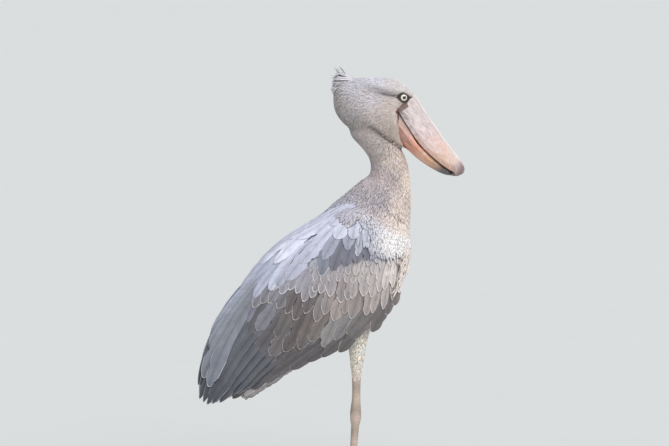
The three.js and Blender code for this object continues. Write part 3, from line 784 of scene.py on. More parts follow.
def shape_head(ob):
    """Brow, lore and jaw folds, cut into and raised from the skin."""
    me = ob.data
    V, N = coords_of(me)
    side = smooth(np.abs(V[:, 1]), 22, 38)
    high = V[:, 2] > 930
    lift = 6.5 * np.exp(-(line_distance(V, BROW) / 6.0) ** 2) * side * smooth(V[:, 0], 30, 80)
    lift -= 3.6 * np.exp(-(line_distance(V, BROW_GROOVE) / 3.6) ** 2) * side * smooth(V[:, 0], 44, 80)
    lift -= 2.0 * np.exp(-(line_distance(V, LORE) / 5.0) ** 2) * side
    lift -= 3.6 * np.exp(-(line_distance(V, JAW_GROOVE) / 5.0) ** 2) * smooth(np.abs(V[:, 1]), 8, 26)
    jaw = line_distance(V, [(x - 4, z + 11) for x, z in JAW_GROOVE])
    lift += 2.2 * np.exp(-(jaw / 8.0) ** 2) * smooth(np.abs(V[:, 1]), 12, 30)
    # the socket: the skin draws in round the eyeball
    eye = np.linalg.norm(V[:, [0, 2]] - EYE[[0, 2]], axis=1)
    lift += 3.6 * np.exp(-(np.maximum(eye - 10.5, 0) / 9.0) ** 2) * (eye > 8) * side
    lift -= 1.0 * np.exp(-(eye / 8.0) ** 2) * side
    V = V + N * (lift * high)[:, None]
    rim = inset(BILL_ZONE, 5)
    rim = line_distance(V, [tuple(q) for q in rim] + [tuple(rim[0])])
    V[:, 1] -= np.sign(V[:, 1]) * 4.4 * np.exp(-(rim / 5.0) ** 2) * smooth(np.abs(N[:, 1]), 0.3, 0.75) * (V[:, 2] < 1046) * (np.abs(V[:, 1]) > 20)
    me.vertices.foreach_set("co", place(V).astype(np.float32).ravel())
    me.update()


def paint_skin(ob, material):
    me = ob.data
    V, _ = coords_of(me)
    # the skin under the coat is the plumage's colour darkened: painted shade for the gaps between feathers
    col = tone_at(V) * 0.84
    lid, lore = bare_parts(V)
    bare = np.maximum(lid, lore)
    col = col * (1 - bare[:, None]) + (linear((62, 52, 50)) * lid[:, None] + linear((118, 98, 92)) * np.maximum(lore - lid, 0)[:, None])
    rim = inside_zone(V, 1.5) & (V[:, 2] < 1046)
    col[rim] = linear((204, 180, 170))
    mouth = np.exp(-(line_distance(V, [(106, 1047), (111, 1017)]) / 6.5) ** 4)[:, None]
    col = col * (1 - mouth) + linear((112, 78, 74)) * mouth
    shank = (1 - smooth(V[:, 2], 352, 372)) * ((V[:, 0] > -60) | (V[:, 2] < 60))
    leg = linear((192, 174, 160)) * (0.85 + 0.3 * (np.sin(V[:, 2] * 0.11) * 0.5 + 0.5))[:, None]
    col = col * (1 - shank[:, None]) + leg * shank[:, None]
    colour = np.concatenate([col, np.ones((len(col), 1))], 1).astype(np.float32)
    at = me.attributes.new("Col", "FLOAT_COLOR", "POINT")
    at.data.foreach_set("color", colour.ravel())
    at = me.attributes.new("scaly", "FLOAT", "POINT")
    at.data.foreach_set("value", shank.astype(np.float32))
    me.materials.clear()
    me.materials.append(material)
    me.polygons.foreach_set("use_smooth", np.ones(len(me.polygons), bool))


# ------------------------------------------------------------------ bill, eyes, claws
def ramp(q, stops):
    """A colour along q from (position, display colour) stops, linear."""
    xs = [a for a, _ in stops]
    C = np.array([linear(c) for _, c in stops])
    return np.stack([np.interp(q, xs, C[:, k]) for k in range(3)], 1)


def relax(V, F, weight, rounds):
    """Draws each corner toward the middle of its neighbours."""
    pairs = np.concatenate([np.stack([f[:, i], f[:, (i + 1) % f.shape[1]]], 1) for f in F for i in range(f.shape[1])])
    pairs = np.unique(np.sort(pairs, 1), axis=0)
    a, b = pairs.T
    count = np.maximum(np.bincount(pairs.ravel(), minlength=len(V)), 1)[:, None]
    for _ in range(rounds):
        total = np.zeros_like(V)
        np.add.at(total, a, V[b])
        np.add.at(total, b, V[a])
        V = V + 0.7 * weight[:, None] * (total / count - V)
    return V


def mottle(a, b):
    """Soft uneven patches between 0 and 1."""
    v = np.sin(a + 1.9 * np.sin(b * 0.7 + 0.4)) * np.sin(b * 1.2 + 1.6 * np.sin(a * 0.8 + 2.0))
    v = v + 0.5 * np.sin(a * 2.3 + 1.2 * np.sin(b * 1.9)) * np.sin(b * 2.9 + 1.4 * np.sin(a * 1.7 + 1.0))
    return smooth(v, -0.15, 0.95)


def make_bill():
    lower = LOWER_BILL_RIBS + [[257.0, 889.5, 253.5, 873.6, 9.0, 0.45], [268.5, 886.0, 263.0, 873.4, 5.0, 0.45]]
    for name, ribs, kind, node in (("bill_top", UPPER_BILL_RIBS, "arch", "bill_upper"), ("bill_bottom", lower, "keel", "bill_lower")):
        s0, s1 = (0.75, len(ribs) - 1) if kind == "arch" else (0.85, len(ribs) - 1)
        V, F = loft(ribs, kind, 48, 16, -0.05, s0, s1)
        x, y, z = V.T
        d_mouth = line_distance(V, MOUTH)
        d_culmen = line_distance(V, [(r[0], r[1]) for r in ribs])
        q = np.clip(((x - 120) * 0.68 - (z - 1045) * 0.73) / 215, 0, 1)  # from the base to the tip
        V = relax(V, F, smooth(q, 0.92, 0.97), 22 if kind == "arch" else 6)
        x, y, z = V.T
        N = np.array([0.80, 0, 0.60])
        far = smooth(x, 150, 285)
        if kind == "arch":
            crest = 1 - smooth(d_culmen, 10, 17)
            ridge = 2.0 * np.exp(-(y / 6.5) ** 2) - 1.9 * np.exp(-((np.abs(y) - 14.0 + 5 * far) / 3.2) ** 2)
            V = V + N * (ridge * crest)[:, None]
            # rolled cutting edge, and shallow swellings along the sides
            roll = 1.2 * np.exp(-(d_mouth / 3.0) ** 2) - 0.9 * np.exp(-((d_mouth - 7) / 3.0) ** 2)
            roll = roll + 0.5 * np.sin(q * 31 + np.sin(d_mouth * 0.2) * 2) * np.exp(-((d_mouth - 18) / 14) ** 2)
            V[:, 1] += np.sign(y) * roll * (np.abs(y) > 6)
            col = ramp(q, [(0, (208, 197, 194)), (0.22, (218, 204, 202)), (0.45, (222, 200, 200)), (0.7, (226, 198, 184)), (0.88, (222, 196, 184)),
                           (0.95, (176, 150, 150)), (1, (140, 118, 124))])
            edge = np.exp(-(d_mouth / 13.0) ** 2)[:, None] * (0.65 * smooth(q, 0.15, 0.45))[:, None]
            col = col * (1 - edge) + linear((222, 172, 142)) * edge
            along_it, over_it = (x - 120) * 0.68 - (z - 1045) * 0.73, (x - 120) * 0.73 + (z - 1045) * 0.68 + y
            blot = mottle(along_it / 7.0, over_it / 4.2)[:, None] * (0.14 + 0.42 * (1 - smooth(q, 0.30, 0.80)))[:, None]
            col = col * (1 - blot) + linear((150, 134, 138)) * blot
            tan = mottle(along_it / 5.0 + 9, over_it / 5.5 + 4)[:, None] * (0.50 * smooth(q, 0.25, 0.5) * (1 - smooth(q, 0.88, 0.95)))[:, None]
            col = col * (1 - tan) + linear((214, 160, 128)) * tan
            # painted highlight: a pale strip along the top of the culmen, where the light falls
            pale = (np.exp(-(y / 17.0) ** 2) * (1 - smooth(d_culmen, 8, 22)) * (1 - smooth(q, 0.86, 0.96)) * 0.85)[:, None]
            col = col * (1 - pale) + linear((250, 242, 236)) * pale
            # painted shade in the groove beside the culmen's ridge
            under = np.exp(-((np.abs(y) - 15.0 + 5 * far) / 3.0) ** 2) * crest * (0.30 + 0.35 * (1 - smooth(q, 0.6, 0.9)))
            # painted shade along the mouth line between the mandibles
            dark = np.maximum((1 - smooth(d_mouth, 0.6, 2.2)) * 0.6, under)
            lines = 0.35 + 0.35 * (1 - smooth(q, 0.2, 0.7))
        else:
            run = (x - 84) * 0.55 - (z - 1044) * 0.83
            cross = (x - 84) * 0.83 + (z - 1044) * 0.55
            fold = np.sin(cross * 0.95 + 0.6 * np.sin(run * 0.06)) * 0.55 * (1 - smooth(run, 50, 150))
            V[:, 1] += np.sign(y) * fold * (np.abs(y) > 10)
            col = ramp(q, [(0, (206, 186, 178)), (0.2, (224, 178, 162)), (0.42, (238, 170, 142)), (0.65, (238, 188, 148)), (0.75, (200, 160, 134)),
                           (0.85, (86, 78, 77)), (1, (58, 54, 58))])
            blot = mottle(run / 8.0 + 3, cross / 4.0)[:, None] * (0.42 * (1 - smooth(q, 0.74, 0.84)))[:, None]
            col = col * (1 - blot) + linear((196, 120, 104)) * blot
            d_low = line_distance(V, [(r[2], r[3]) for r in ribs])
            # painted shade along the mouth line and along the lower edge of the lower bill
            dark = np.maximum((1 - smooth(d_mouth, 0.6, 2.6)) * 0.7, 0.25 * (1 - smooth(d_low, 1.0, 5.0)))
            # painted shade in the hollows of the folds at the base
            dark = np.maximum(dark, 0.45 * (fold < -0.35) * (1 - smooth(run, 40, 120)))
            lines = 0.65 - 0.35 * smooth(q, 0.4, 0.7)
        run = (x - 120) * 0.68 - (z - 1045) * 0.73
        around = np.sign(y) * 40 + (x - 120) * 0.73 + (z - 1045) * 0.68 + y
        # the lining of the mouth behind the cutting edges, coloured near black as painted shade for the gap between the
        # mandibles
        rows = []
        for r in ribs[1:-2]:
            a, b = np.array(r[:2], float), np.array(r[2:4], float)
            mid, up = (b if kind == "arch" else a), unit(a - b)
            rows.append([*(mid + up * 1.7), *(mid - up * 1.7), max(r[4] * 0.93 - 2.4, 1.5), 0.5])
        mv, mf = loft(rows, "full", 20, 8)
        k = len(mv)
        V, F = joined([(V, F), (mv, mf)])
        ob = mesh_object(name, V, F, bill_material(name), "bill", attrs={
            "Col": np.clip(np.concatenate([col, np.tile(linear((70, 50, 48)), (k, 1))]), 0, 1), "dark": np.concatenate([dark, np.full(k, 0.9)]),
            "lines": np.concatenate([lines, np.zeros(k)]), "run": np.concatenate([run, np.zeros(k)]),
            "round": np.concatenate([around, np.zeros(k)])})
        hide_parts(node)


def ball(centre, radius, axis, rings=40, segs=48, shape=None):
    f = np.pi * np.arange(1, rings) / rings
    g = 2 * np.pi * np.arange(segs) / segs
    a = unit(np.array(axis, float))
    u = unit(np.cross(a, [0, 0, 1.0]))
    v = np.cross(a, u)
    r = radius if shape is None else radius + shape(f)
    r = np.broadcast_to(r, f.shape)
    P = [centre + a * (ri * math.cos(fi)) + (u * np.cos(g)[:, None] + v * np.sin(g)[:, None]) * (ri * math.sin(fi)) for fi, ri in zip(f, r)]
    top = centre + a * (radius + (0 if shape is None else shape(np.zeros(1))[0]))
    bottom = centre - a * radius
    V = np.concatenate(P + [top[None], bottom[None]])
    k = np.arange(segs)
    k2 = (k + 1) % segs
    quads = np.concatenate([np.stack([i * segs + k, i * segs + k2, (i + 1) * segs + k2, (i + 1) * segs + k], 1) for i in range(len(f) - 1)])
    last = (len(f) - 1) * segs
    tris = np.concatenate([np.stack([k2, k, np.full(segs, len(V) - 2)], 1), np.stack([last + k, last + k2, np.full(segs, len(V) - 1)], 1)])
    angle = np.concatenate([np.repeat(f, segs), [0, np.pi]])
    return V, [quads, tris], angle


def make_eyes(skin_mat):
    mat = eye_material()
    axis = np.array([0.30, -0.95, 0.06])
    bulge = lambda f: 0.9 * np.exp(-(f / 0.62) ** 4)
    for tag, flip in (("r", 1), ("l", -1)):
        V, F, angle = ball(EYE, EYE_R - 0.6, axis, shape=bulge)
        radius = EYE_R * np.sin(np.minimum(angle, np.pi / 2))
        iris = np.array(linear((238, 234, 214)))
        col = np.tile(iris, (len(V), 1))
        rim = smooth(radius, 7.0, 8.6)[:, None]
        col = col * (1 - rim * 0.35)
        out = smooth(radius, 8.6, 9.1)[:, None]
        col = col * (1 - out) + linear((30, 26, 25)) * out
        pupil = (1 - smooth(radius, 4.5, 5.0))[:, None]
        col = col * (1 - pupil) + linear((10, 9, 10)) * pupil
        W = V * [1, flip, 1]
        faces = F if flip == 1 else [f[:, ::-1] for f in F]
        ob = mesh_object("eyeball_" + tag, W, faces, mat, "eye", attrs={"Col": col})
        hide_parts("eye_" + tag)


def lids():
    """A soft bare rim round each eye, heavier above, as part of the skin."""
    axis = unit(np.array([0.26, -0.96, 0.05]))
    u = unit(np.cross(axis, [0, 0, 1.0]))
    v = np.cross(axis, u)
    if v[2] < 0:
        v = -v
    n, m = 96, 16
    rings = []
    for i in range(n):
        g = 2 * np.pi * i / n
        out = u * math.cos(g) + v * math.sin(g)
        up = math.sin(g)
        centre = EYE + axis * (7.6 + 0.5 * max(up, 0)) + out * (10.3 - 0.7 * max(up, 0) ** 2)
        f = 2 * np.pi * np.arange(m) / m
        wrinkle = 1 + 0.09 * math.sin(g * 19) * (np.cos(f) > 0)
        rings.append(centre + out * ((1.9 + 0.5 * max(up, 0)) * np.cos(f) * wrinkle)[:, None] + axis * ((1.7 + 0.5 * max(up, 0)) * np.sin(f))[:, None])
    V = np.concatenate(rings)
    k = np.arange(m)
    k2 = (k + 1) % m
    F = np.concatenate([np.stack([i * m + k, i * m + k2, ((i + 1) % n) * m + k2, ((i + 1) % n) * m + k], 1) for i in range(n)])
    return V, [F]


def make_claws():
    mat = simple_material("claw_horn", (58, 52, 50), 0.38, 0.5, noise_scale=500, amount=0.5, bump=0.0003)
    for tag, flip in (("r", 1), ("l", -1)):
        for name, (length, angle, root, tip) in TOES.items():
            a = math.radians(angle)
            d = (math.cos(a), -math.sin(a))
            at = lambda s, z, w, h: (FOOT_X + d[0] * (length + s), -FOOT_Y + d[1] * (length + s), z, w, h)
            rows = [at(-4, tip - 1.6, 3.6, 3.7), at(4, tip + 0.8, 3.5, 3.9), at(11, tip + 0.2, 2.45, 2.8),
                    at(CLAW_LENGTH - 4, tip - 2.0, 1.35, 1.6), at(CLAW_LENGTH, 1.9, 0.5, 0.6)]
            V, F = tube(rows, 18, 8)
            V = V * [1, flip, 1]
            F = F if flip == 1 else [f[:, ::-1] for f in F]
            ob = mesh_object(f"talon_{name}_{tag}", V, F, mat, "claw")
            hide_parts(f"claw_{name}_{tag}")


# ------------------------------------------------------------------ sampling the skin
def spread(V, tris, spacing, keep, rng, tries=7.0):
    """Points on a surface about spacing(P) apart, where keep(P, N) holds."""
    A, B, C = V[tris[:, 0]], V[tris[:, 1]], V[tris[:, 2]]
    cross = np.cross(B - A, C - A)
    area = np.linalg.norm(cross, axis=1) / 2
    mid = (A + B + C) / 3
    normal = unit(cross)
    ok = keep(mid, normal)
    want = np.where(ok, tries * area / spacing(mid) ** 2, 0)
    count = rng.poisson(want)
    index = np.repeat(np.arange(len(tris)), count)
    r1, r2 = rng.random(len(index)), rng.random(len(index))
    flip = r1 + r2 > 1
    r1, r2 = np.where(flip, 1 - r1, r1), np.where(flip, 1 - r2, r2)
    P = A[index] + (B - A)[index] * r1[:, None] + (C - A)[index] * r2[:, None]
    N = normal[index]
    order = rng.permutation(len(P))
    P, N = P[order], N[order]
    r = spacing(P)
    cell = 0.72 * float(r.max()) if len(r) else 1.0
    cell = max(cell, 1.0)
    grid = {}
    chosen = []
    keys = np.floor(P / cell).astype(int)
    Pl = P.tolist()
    for i, (key, p, ri) in enumerate(zip(map(tuple, keys), Pl, r.tolist())):
        rr = (ri * 0.86) ** 2
        reach = 1 if ri <= cell * 1.2 else 2
        free = True
        for a in range(-reach, reach + 1):
            for b in range(-reach, reach + 1):
                for c in range(-reach, reach + 1):
                    near = grid.get((key[0] + a, key[1] + b, key[2] + c))
                    if near:
                        for q in near:
                            if (q[0] - p[0]) ** 2 + (q[1] - p[1]) ** 2 + (q[2] - p[2]) ** 2 < rr:
                                free = False
                                break
                    if not free:
                        break
                if not free:
                    break
            if not free:
                break
        if free:
            grid.setdefault(key, []).append(p)
            chosen.append(i)
    return P[chosen], N[chosen]


def nearest(bvh, P):
    co, no = np.empty_like(P), np.empty_like(P)
    for i, p in enumerate(P.tolist()):
        c, n, _, _ = bvh.find_nearest(p)
        co[i], no[i] = c, n
    return co, no


# ------------------------------------------------------------------ small feathers
LEAF_A = np.array([0.0, 0.22, 0.58, 0.86, 1.0])
LEAF_W = np.array([0.0, 0.78, 1.0, 0.66, 0.0])


def leaf_faces():
    F = []
    ring = lambda i: [1 + 4 * (i - 1) + k for k in range(4)]
    for k in range(4):
        F.append([0, ring(1)[(k + 1) % 4], ring(1)[k]])
    for i in (1, 2):
        a, b = ring(i), ring(i + 1)
        for k in range(4):
            k2 = (k + 1) % 4
            F += [[a[k], a[k2], b[k2]], [a[k], b[k2], b[k]]]
    last = ring(3)
    for k in range(4):
        F.append([13, last[k], last[(k + 1) % 4]])
    return np.array(F)


LEAF_F = leaf_faces()


def leaves(name, bvh, P, N, D, L, W, tone, rng, uv, low=0.3, high=1.0, painted_tip_light=1.12, painted_root_shade=0.72, camber=0.06,
           twist=0.12, thick=0.045, material=None, slot="plumage", over=None):
    """Small feathers as thin closed leaves: root P, lie D, length L, width W, colour tone."""
    n = len(P)
    D = unit(D - N * (D * N).sum(1, keepdims=True))
    side = np.cross(N, D)
    a = rng.normal(0, twist, n)[:, None]
    D = D * np.cos(a) + side * np.sin(a)
    Lc = L[:, None]
    low, high = (np.broadcast_to(h, n)[:, None] for h in (low, high))
    if over is None:
        mid, nm = nearest(bvh, P + D * Lc * 0.5)
        tip, nt_ = nearest(bvh, P + D * Lc)
    else:
        mid, nm = over(P + D * Lc * 0.5, N, P)
        tip, nt_ = over(P + D * Lc, N, P)
    root = P + N * (low * 0.2)
    mid = mid + nm * ((low + high) / 2 * 1.15)
    tip = tip + nt_ * (high * (1 + 0.35 * rng.random((n, 1))))
    ctrl = 2 * mid - (root + tip) / 2
    V = np.empty((n, 14, 3))
    colour = np.empty((n, 14, 3))
    UV = np.empty((n, 14, 2))
    across, run = np.zeros((n, 14)), np.empty((n, 14))
    seed = rng.uniform(0, 900, n)
    at = 0
    for i, (s, w) in enumerate(zip(LEAF_A, LEAF_W)):
        C = (1 - s) ** 2 * root + 2 * s * (1 - s) * ctrl + s * s * tip
        T = unit(2 * (1 - s) * (ctrl - root) + 2 * s * (tip - ctrl))
        nn = unit(N * (1 - s) + nt_ * s)
        B = unit(np.cross(nn, T))
        nn = np.cross(T, B)
        # painted shade toward the root, painted light toward the tip
        shade = painted_root_shade + (painted_tip_light - painted_root_shade) * s
        if i in (0, 4):
            V[:, at] = C
            colour[:, at] = tone * shade
            UV[:, at] = uv + PATCH * np.array([0.5, s])
            run[:, at] = s * L
            at += 1
        else:
            hw = (W * w / 2)[:, None]
            drop = (W * camber * w)[:, None]
            th = (W * thick)[:, None]
            # across the vane the edges are paler and the middle darker; the point below the middle gets painted shade
            for k, (u, h, across_tone_and_under_shade) in enumerate(((-1, -1, 1.06), (0, 1, 0.93), (1, -1, 1.06), (0, -0.35, 0.85))):
                if k == 1:
                    V[:, at] = C + nn * th
                elif k == 3:
                    V[:, at] = C - nn * th * 0.4
                else:
                    V[:, at] = C + B * hw * u - nn * drop
                colour[:, at] = tone * shade * across_tone_and_under_shade
                UV[:, at] = uv + PATCH * np.array([0.5 + 0.5 * u * w, s])
                across[:, at], run[:, at] = hw[:, 0] * u, s * L
                at += 1
    F = (LEAF_F[None] + (np.arange(n) * 14)[:, None, None]).reshape(-1, 3)
    return mesh_object(name, V.reshape(-1, 3), [F], material, slot, uv=UV.reshape(-1, 2),
                       attrs={"Col": np.clip(colour.reshape(-1, 3), 0, 1), "across": across.ravel(), "run": run.ravel(),
                              "seed": np.repeat(seed, 14)})


def unwrap(ribs, s_range, t_pad=0.05):
    """A map from places near a loft to its own unrolled surface: s along, and round from chin over back to chin."""
    s = np.linspace(*s_range, 260)
    t = np.linspace(-t_pad, 1 + t_pad, 60)
    R = along(ribs, s)
    X = R[:, None, 0] + (R[:, None, 2] - R[:, None, 0]) * t[None]
    Z = R[:, None, 1] + (R[:, None, 3] - R[:, None, 1]) * t[None]
    tree = KDTree(len(s) * len(t))
    S, T = np.meshgrid(s, t, indexing="ij")
    for i, (x, z) in enumerate(zip(X.ravel().tolist(), Z.ravel().tolist())):
        tree.insert((x, z, 0), i)
    tree.balance()
    S, T = S.ravel(), T.ravel()

    def mapper(P):
        uv = np.empty((len(P), 2))
        for i, (x, y, z) in enumerate(P.tolist()):
            _, k, _ = tree.find((x, z, 0))
            u = (S[k] - s_range[0]) / (s_range[1] - s_range[0])
            tt = min(max(T[k], 0), 1)
            # arc length round a section grows like the angle, not like the height
            ang = math.acos(1 - 2 * tt) / math.pi
            v = 0.5 + 0.5 * ang * (-1 if y < 0 else 1)
            uv[i] = (0.005 + 0.985 * u, 0.005 + 0.985 * v)
        return np.clip(uv, 0.002, 0.993)

    return mapper


# ------------------------------------------------------------------ large feathers
def outline(kind, a):
    """Half-width along a large feather as a share of the widest."""
    at = {"covert": 0.60, "flight": 0.78, "scapular": 0.56, "primary": 0.60}[kind]
    base = {"covert": 0.60, "flight": 0.6, "scapular": 0.60, "primary": 0.75}[kind]
    power = {"covert": 1.34, "flight": 1.25, "scapular": 1.22, "primary": 1.25}[kind]
    rise = base + (1 - base) * np.minimum(a / at, 1) ** 0.7
    fall = np.sqrt(np.clip(1 - (np.maximum(a - at, 0) / (1.002 - at)) ** 2, 0, 1)) ** power
    return rise * fall


GRIDS = {
    "big": (np.array([0, 0.1, 0.22, 0.34, 0.46, 0.57, 0.67, 0.76, 0.84, 0.9, 0.945, 0.975, 0.992, 1.0]),
            np.array([-1, -0.85, -0.6, -0.3, 0, 0.3, 0.6, 0.85, 1.0])),
    "mid": (np.array([0, 0.15, 0.32, 0.48, 0.62, 0.75, 0.85, 0.92, 0.97, 1.0]), np.array([-1, -0.72, -0.36, 0, 0.36, 0.72, 1.0])),
    "low": (np.array([0, 0.25, 0.5, 0.7, 0.85, 0.95, 1.0]), np.array([-1, -0.6, 0, 0.6, 1.0])),
}


class Vanes:
    """Collects large feathers and makes one mesh of them, each with a rectangle of its own on the bake map."""

    def __init__(self, name, grid):
        self.name, self.a, self.t = name, *GRIDS[grid]
        self.items = []

    def build(self, material, slot, flip=1):
        na, nt = len(self.a), len(self.t)
        n = len(self.items)
        if not n:
            return None
        cells = math.ceil(math.sqrt(n))
        got = {key: [] for key in ("V", "Col", "Fringe", "edge", "shaft", "barb", "fringe", "pale", "seed", "UV")}
        for i, (top, nor, w, kind, thick, colour, fcol, fringe, pale, seed, tipcol, C) in enumerate(self.items):
            under = top - nor[:, None] * thick
            length = np.linalg.norm(np.diff(C, axis=0), axis=1).sum()
            s = self.a * length
            # how far the nearest edge is: across, and round the tip
            e_side = (1 - np.abs(self.t))[None] * w[:, None] + (2.4 * (1 - smooth(self.a, 0.40, 0.86)))[:, None]
            e_tip = (length - s)[:, None] * (0.55 + 0.45 * np.abs(self.t))[None]
            edge = np.minimum(e_side, e_tip)
            shaft = np.abs(self.t)[None] * w[:, None] + (4.0 if w.max() < 6 else 0.0)
            barb = s[:, None] - shaft * 1.1
            col = np.tile(colour, (na, nt, 1)).astype(float)
            if tipcol is not None:
                m = smooth(self.a, 0.45, 0.95)[:, None, None]
                col = col * (1 - m) + tipcol * m
            cx, cy = i % cells, i // cells
            u = (cx + 0.5 + 0.46 * self.t[None] * np.ones((na, 1))) / cells
            v = (cy + 0.04 + 0.92 * self.a[:, None] * np.ones((1, nt))) / cells
            # the underside copy of each vane is darker: painted shade
            for layer, shade in ((top, 1.0), (under, 0.8)):
                got["V"].append(layer.reshape(-1, 3))
                got["Col"].append((col * shade).reshape(-1, 3))
                got["Fringe"].append(np.tile(fcol, (na * nt, 1)))
                got["edge"].append(edge.ravel())
                got["shaft"].append(shaft.ravel())
                got["barb"].append(barb.ravel())
                for key, value in (("fringe", fringe), ("pale", pale), ("seed", seed)):
                    got[key].append(np.full(na * nt, value))
                got["UV"].append(np.stack([u.ravel(), v.ravel()], 1))
        V = np.concatenate(got.pop("V"))
        uv = np.concatenate(got.pop("UV"))
        if flip < 0:
            V = V * [1, -1, 1]
        i, j = np.meshgrid(np.arange(na - 1), np.arange(nt - 1), indexing="ij")
        q = np.stack([i * nt + j, i * nt + j + 1, (i + 1) * nt + j + 1, (i + 1) * nt + j], -1).reshape(-1, 4)
        lower = q[:, ::-1] + na * nt
        rim = np.concatenate([np.arange(nt), np.arange(1, na) * nt + nt - 1, (na - 1) * nt + np.arange(nt - 2, -1, -1),
                              np.arange(na - 2, 0, -1) * nt])
        r2 = np.roll(rim, -1)
        one = np.concatenate([q, lower, np.stack([r2, rim, rim + na * nt, r2 + na * nt], 1)])
        F = (one[None] + (np.arange(n) * 2 * na * nt)[:, None, None]).reshape(-1, 4)
        if flip < 0:
            F = F[:, ::-1]
        attrs = {key: np.concatenate(value) for key, value in got.items()}
        attrs["Col"] = np.clip(attrs["Col"], 0, 1)
        return mesh_object(self.name, V, [F], material, slot, uv=uv, attrs=attrs)


def wing_share(T, m, tuck):
    """The arched section's width at T, going on past its lower edge."""
    rise = np.sqrt(np.clip(1 - (1 - np.minimum(T / m, 1)) ** 2, 0, 1))
    q = (np.maximum(T, m) - m) / (1 - m)
    below = 1 - tuck - np.minimum(2 * tuck, 0.35) * (T - 1) / (1 - m)
    return np.where(T < m, rise, np.where(T <= 1, 1 - tuck * q ** 2, below))


def wing_guide(depth, t_end=1.5, s_end=12.4, ns=190, nu=34, nd=70):
    """The folded wing's surface, drawn in by depth, going on a little past its lower edge: a grid of points."""
    s = np.linspace(0, s_end, ns)
    f = np.linspace(0, 1, nu)
    R = along(WING_RIBS, s)
    m = R[:, 5][:, None]
    T = np.concatenate([m * (1 - np.cos(f * np.pi / 2))[None], m + (t_end - m) * np.linspace(0, 1, nd)[None, 1:]], 1)
    X = R[:, 0][:, None] * (1 - T) + R[:, 2][:, None] * T
    Z = R[:, 1][:, None] * (1 - T) + R[:, 3][:, None] * T
    Y = -R[:, 4][:, None] * wing_share(T, m, R[:, 6][:, None])
    G = np.stack([X, Y, Z], -1)
    n = unit(np.cross(np.gradient(G, axis=0), np.gradient(G, axis=1)))
    n = n * (-1 if n[ns // 2, nu, 1] > 0 else 1)
    n[:, 0] = n[:, 1]
    return G - n * depth, n, np.broadcast_to(s[:, None], T.shape), T


def grid_faces(ns, nt):
    i, j = np.meshgrid(np.arange(ns - 1), np.arange(nt - 1), indexing="ij")
    return np.stack([i * nt + j, i * nt + j + 1, (i + 1) * nt + j + 1, (i + 1) * nt + j], -1).reshape(-1, 4)


def bvh_of(V, quads):
    return BVHTree.FromPolygons(V.tolist(), [list(map(int, f)) for f in quads])


def px(u, v):
    """A place in the side view from the pixel grid that the outline was measured on: 2.6 mm to a pixel."""
    return np.array([(u - 356) * 2.6, (512 - v) * 2.6])


# ------------------------------------------------------------------ laying a large feather on a surface
class Ground:
    """A surface that feathers lie on; beyond its edge it goes on flat."""

    def __init__(self, V, quads, outward):
        self.bvh = bvh_of(V, quads)
        self.outward = np.array(outward, float)

    def at(self, P, heights):
        """P drawn onto the surface and raised by heights, with the normals there."""
        P = np.asarray(P, float)
        co, no = nearest(self.bvh, P.reshape(-1, 3))
        no = no * np.where((no @ self.outward) < 0, -1, 1)[:, None]
        flat = P.reshape(-1, 3)
        got = flat - no * ((flat - co) * no).sum(1, keepdims=True) + no * np.broadcast_to(heights, P.shape[:-1]).reshape(-1, 1)
        return got.reshape(P.shape), no.reshape(P.shape)

    def side(self, xz):
        """The surface's point at a place in the side view."""
        hit = self.bvh.ray_cast(Vector((xz[0], -700.0, xz[1])), Vector((0, 1, 0)))[0]
        if hit is None or hit.y > 30:
            hit = self.bvh.find_nearest(Vector((xz[0], -90.0, xz[1])))[0]
            return np.array([xz[0], hit.y, xz[1]])
        return np.array(hit)


def lay(vanes, ground, tip, way, length, width, low, high, kind, colour, fringe_colour=(0.8, 0.8, 0.8), fringe=0.0, pale=0.0,
        bend=0.0, roll=0.0, thick=0.45, tip_colour=None, lift=0.0, seed=0.0, camber=0.045, start=None):
    """A large feather whose tip is at a place in the side view (or at a point), lying along way."""
    tip = ground.side(tip) if len(tip) == 2 else np.array(tip, float)
    steps = 16
    d = np.array([way[0], 0.0, way[1]]) if len(way) == 2 else np.array(way, float)
    P, p = [], tip
    for i in range(steps + 1):
        got, n = ground.at(p[None], 0.0)
        p, n = got[0], n[0]
        P.append((p, n))
        turn = bend * (1 - i / steps) / steps * 2
        d = unit(d - n * (d @ n))
        side = np.cross(n, d)
        d = d * math.cos(turn) + side * math.sin(turn)
        p = p - d * (length / steps)
    P = P[::-1]
    C = np.array([q[0] for q in P])
    N = unit(np.array([q[1] for q in P]))
    s = np.linspace(0, 1, steps + 1)
    at = np.stack([np.interp(vanes.a, s, C[:, k]) for k in range(3)], 1)
    nn = unit(np.stack([np.interp(vanes.a, s, N[:, k]) for k in range(3)], 1))
    put_vane(vanes, ground, at, nn, width, low, high, kind, colour, fringe_colour, fringe, pale, roll, thick, tip_colour, lift, seed, camber)


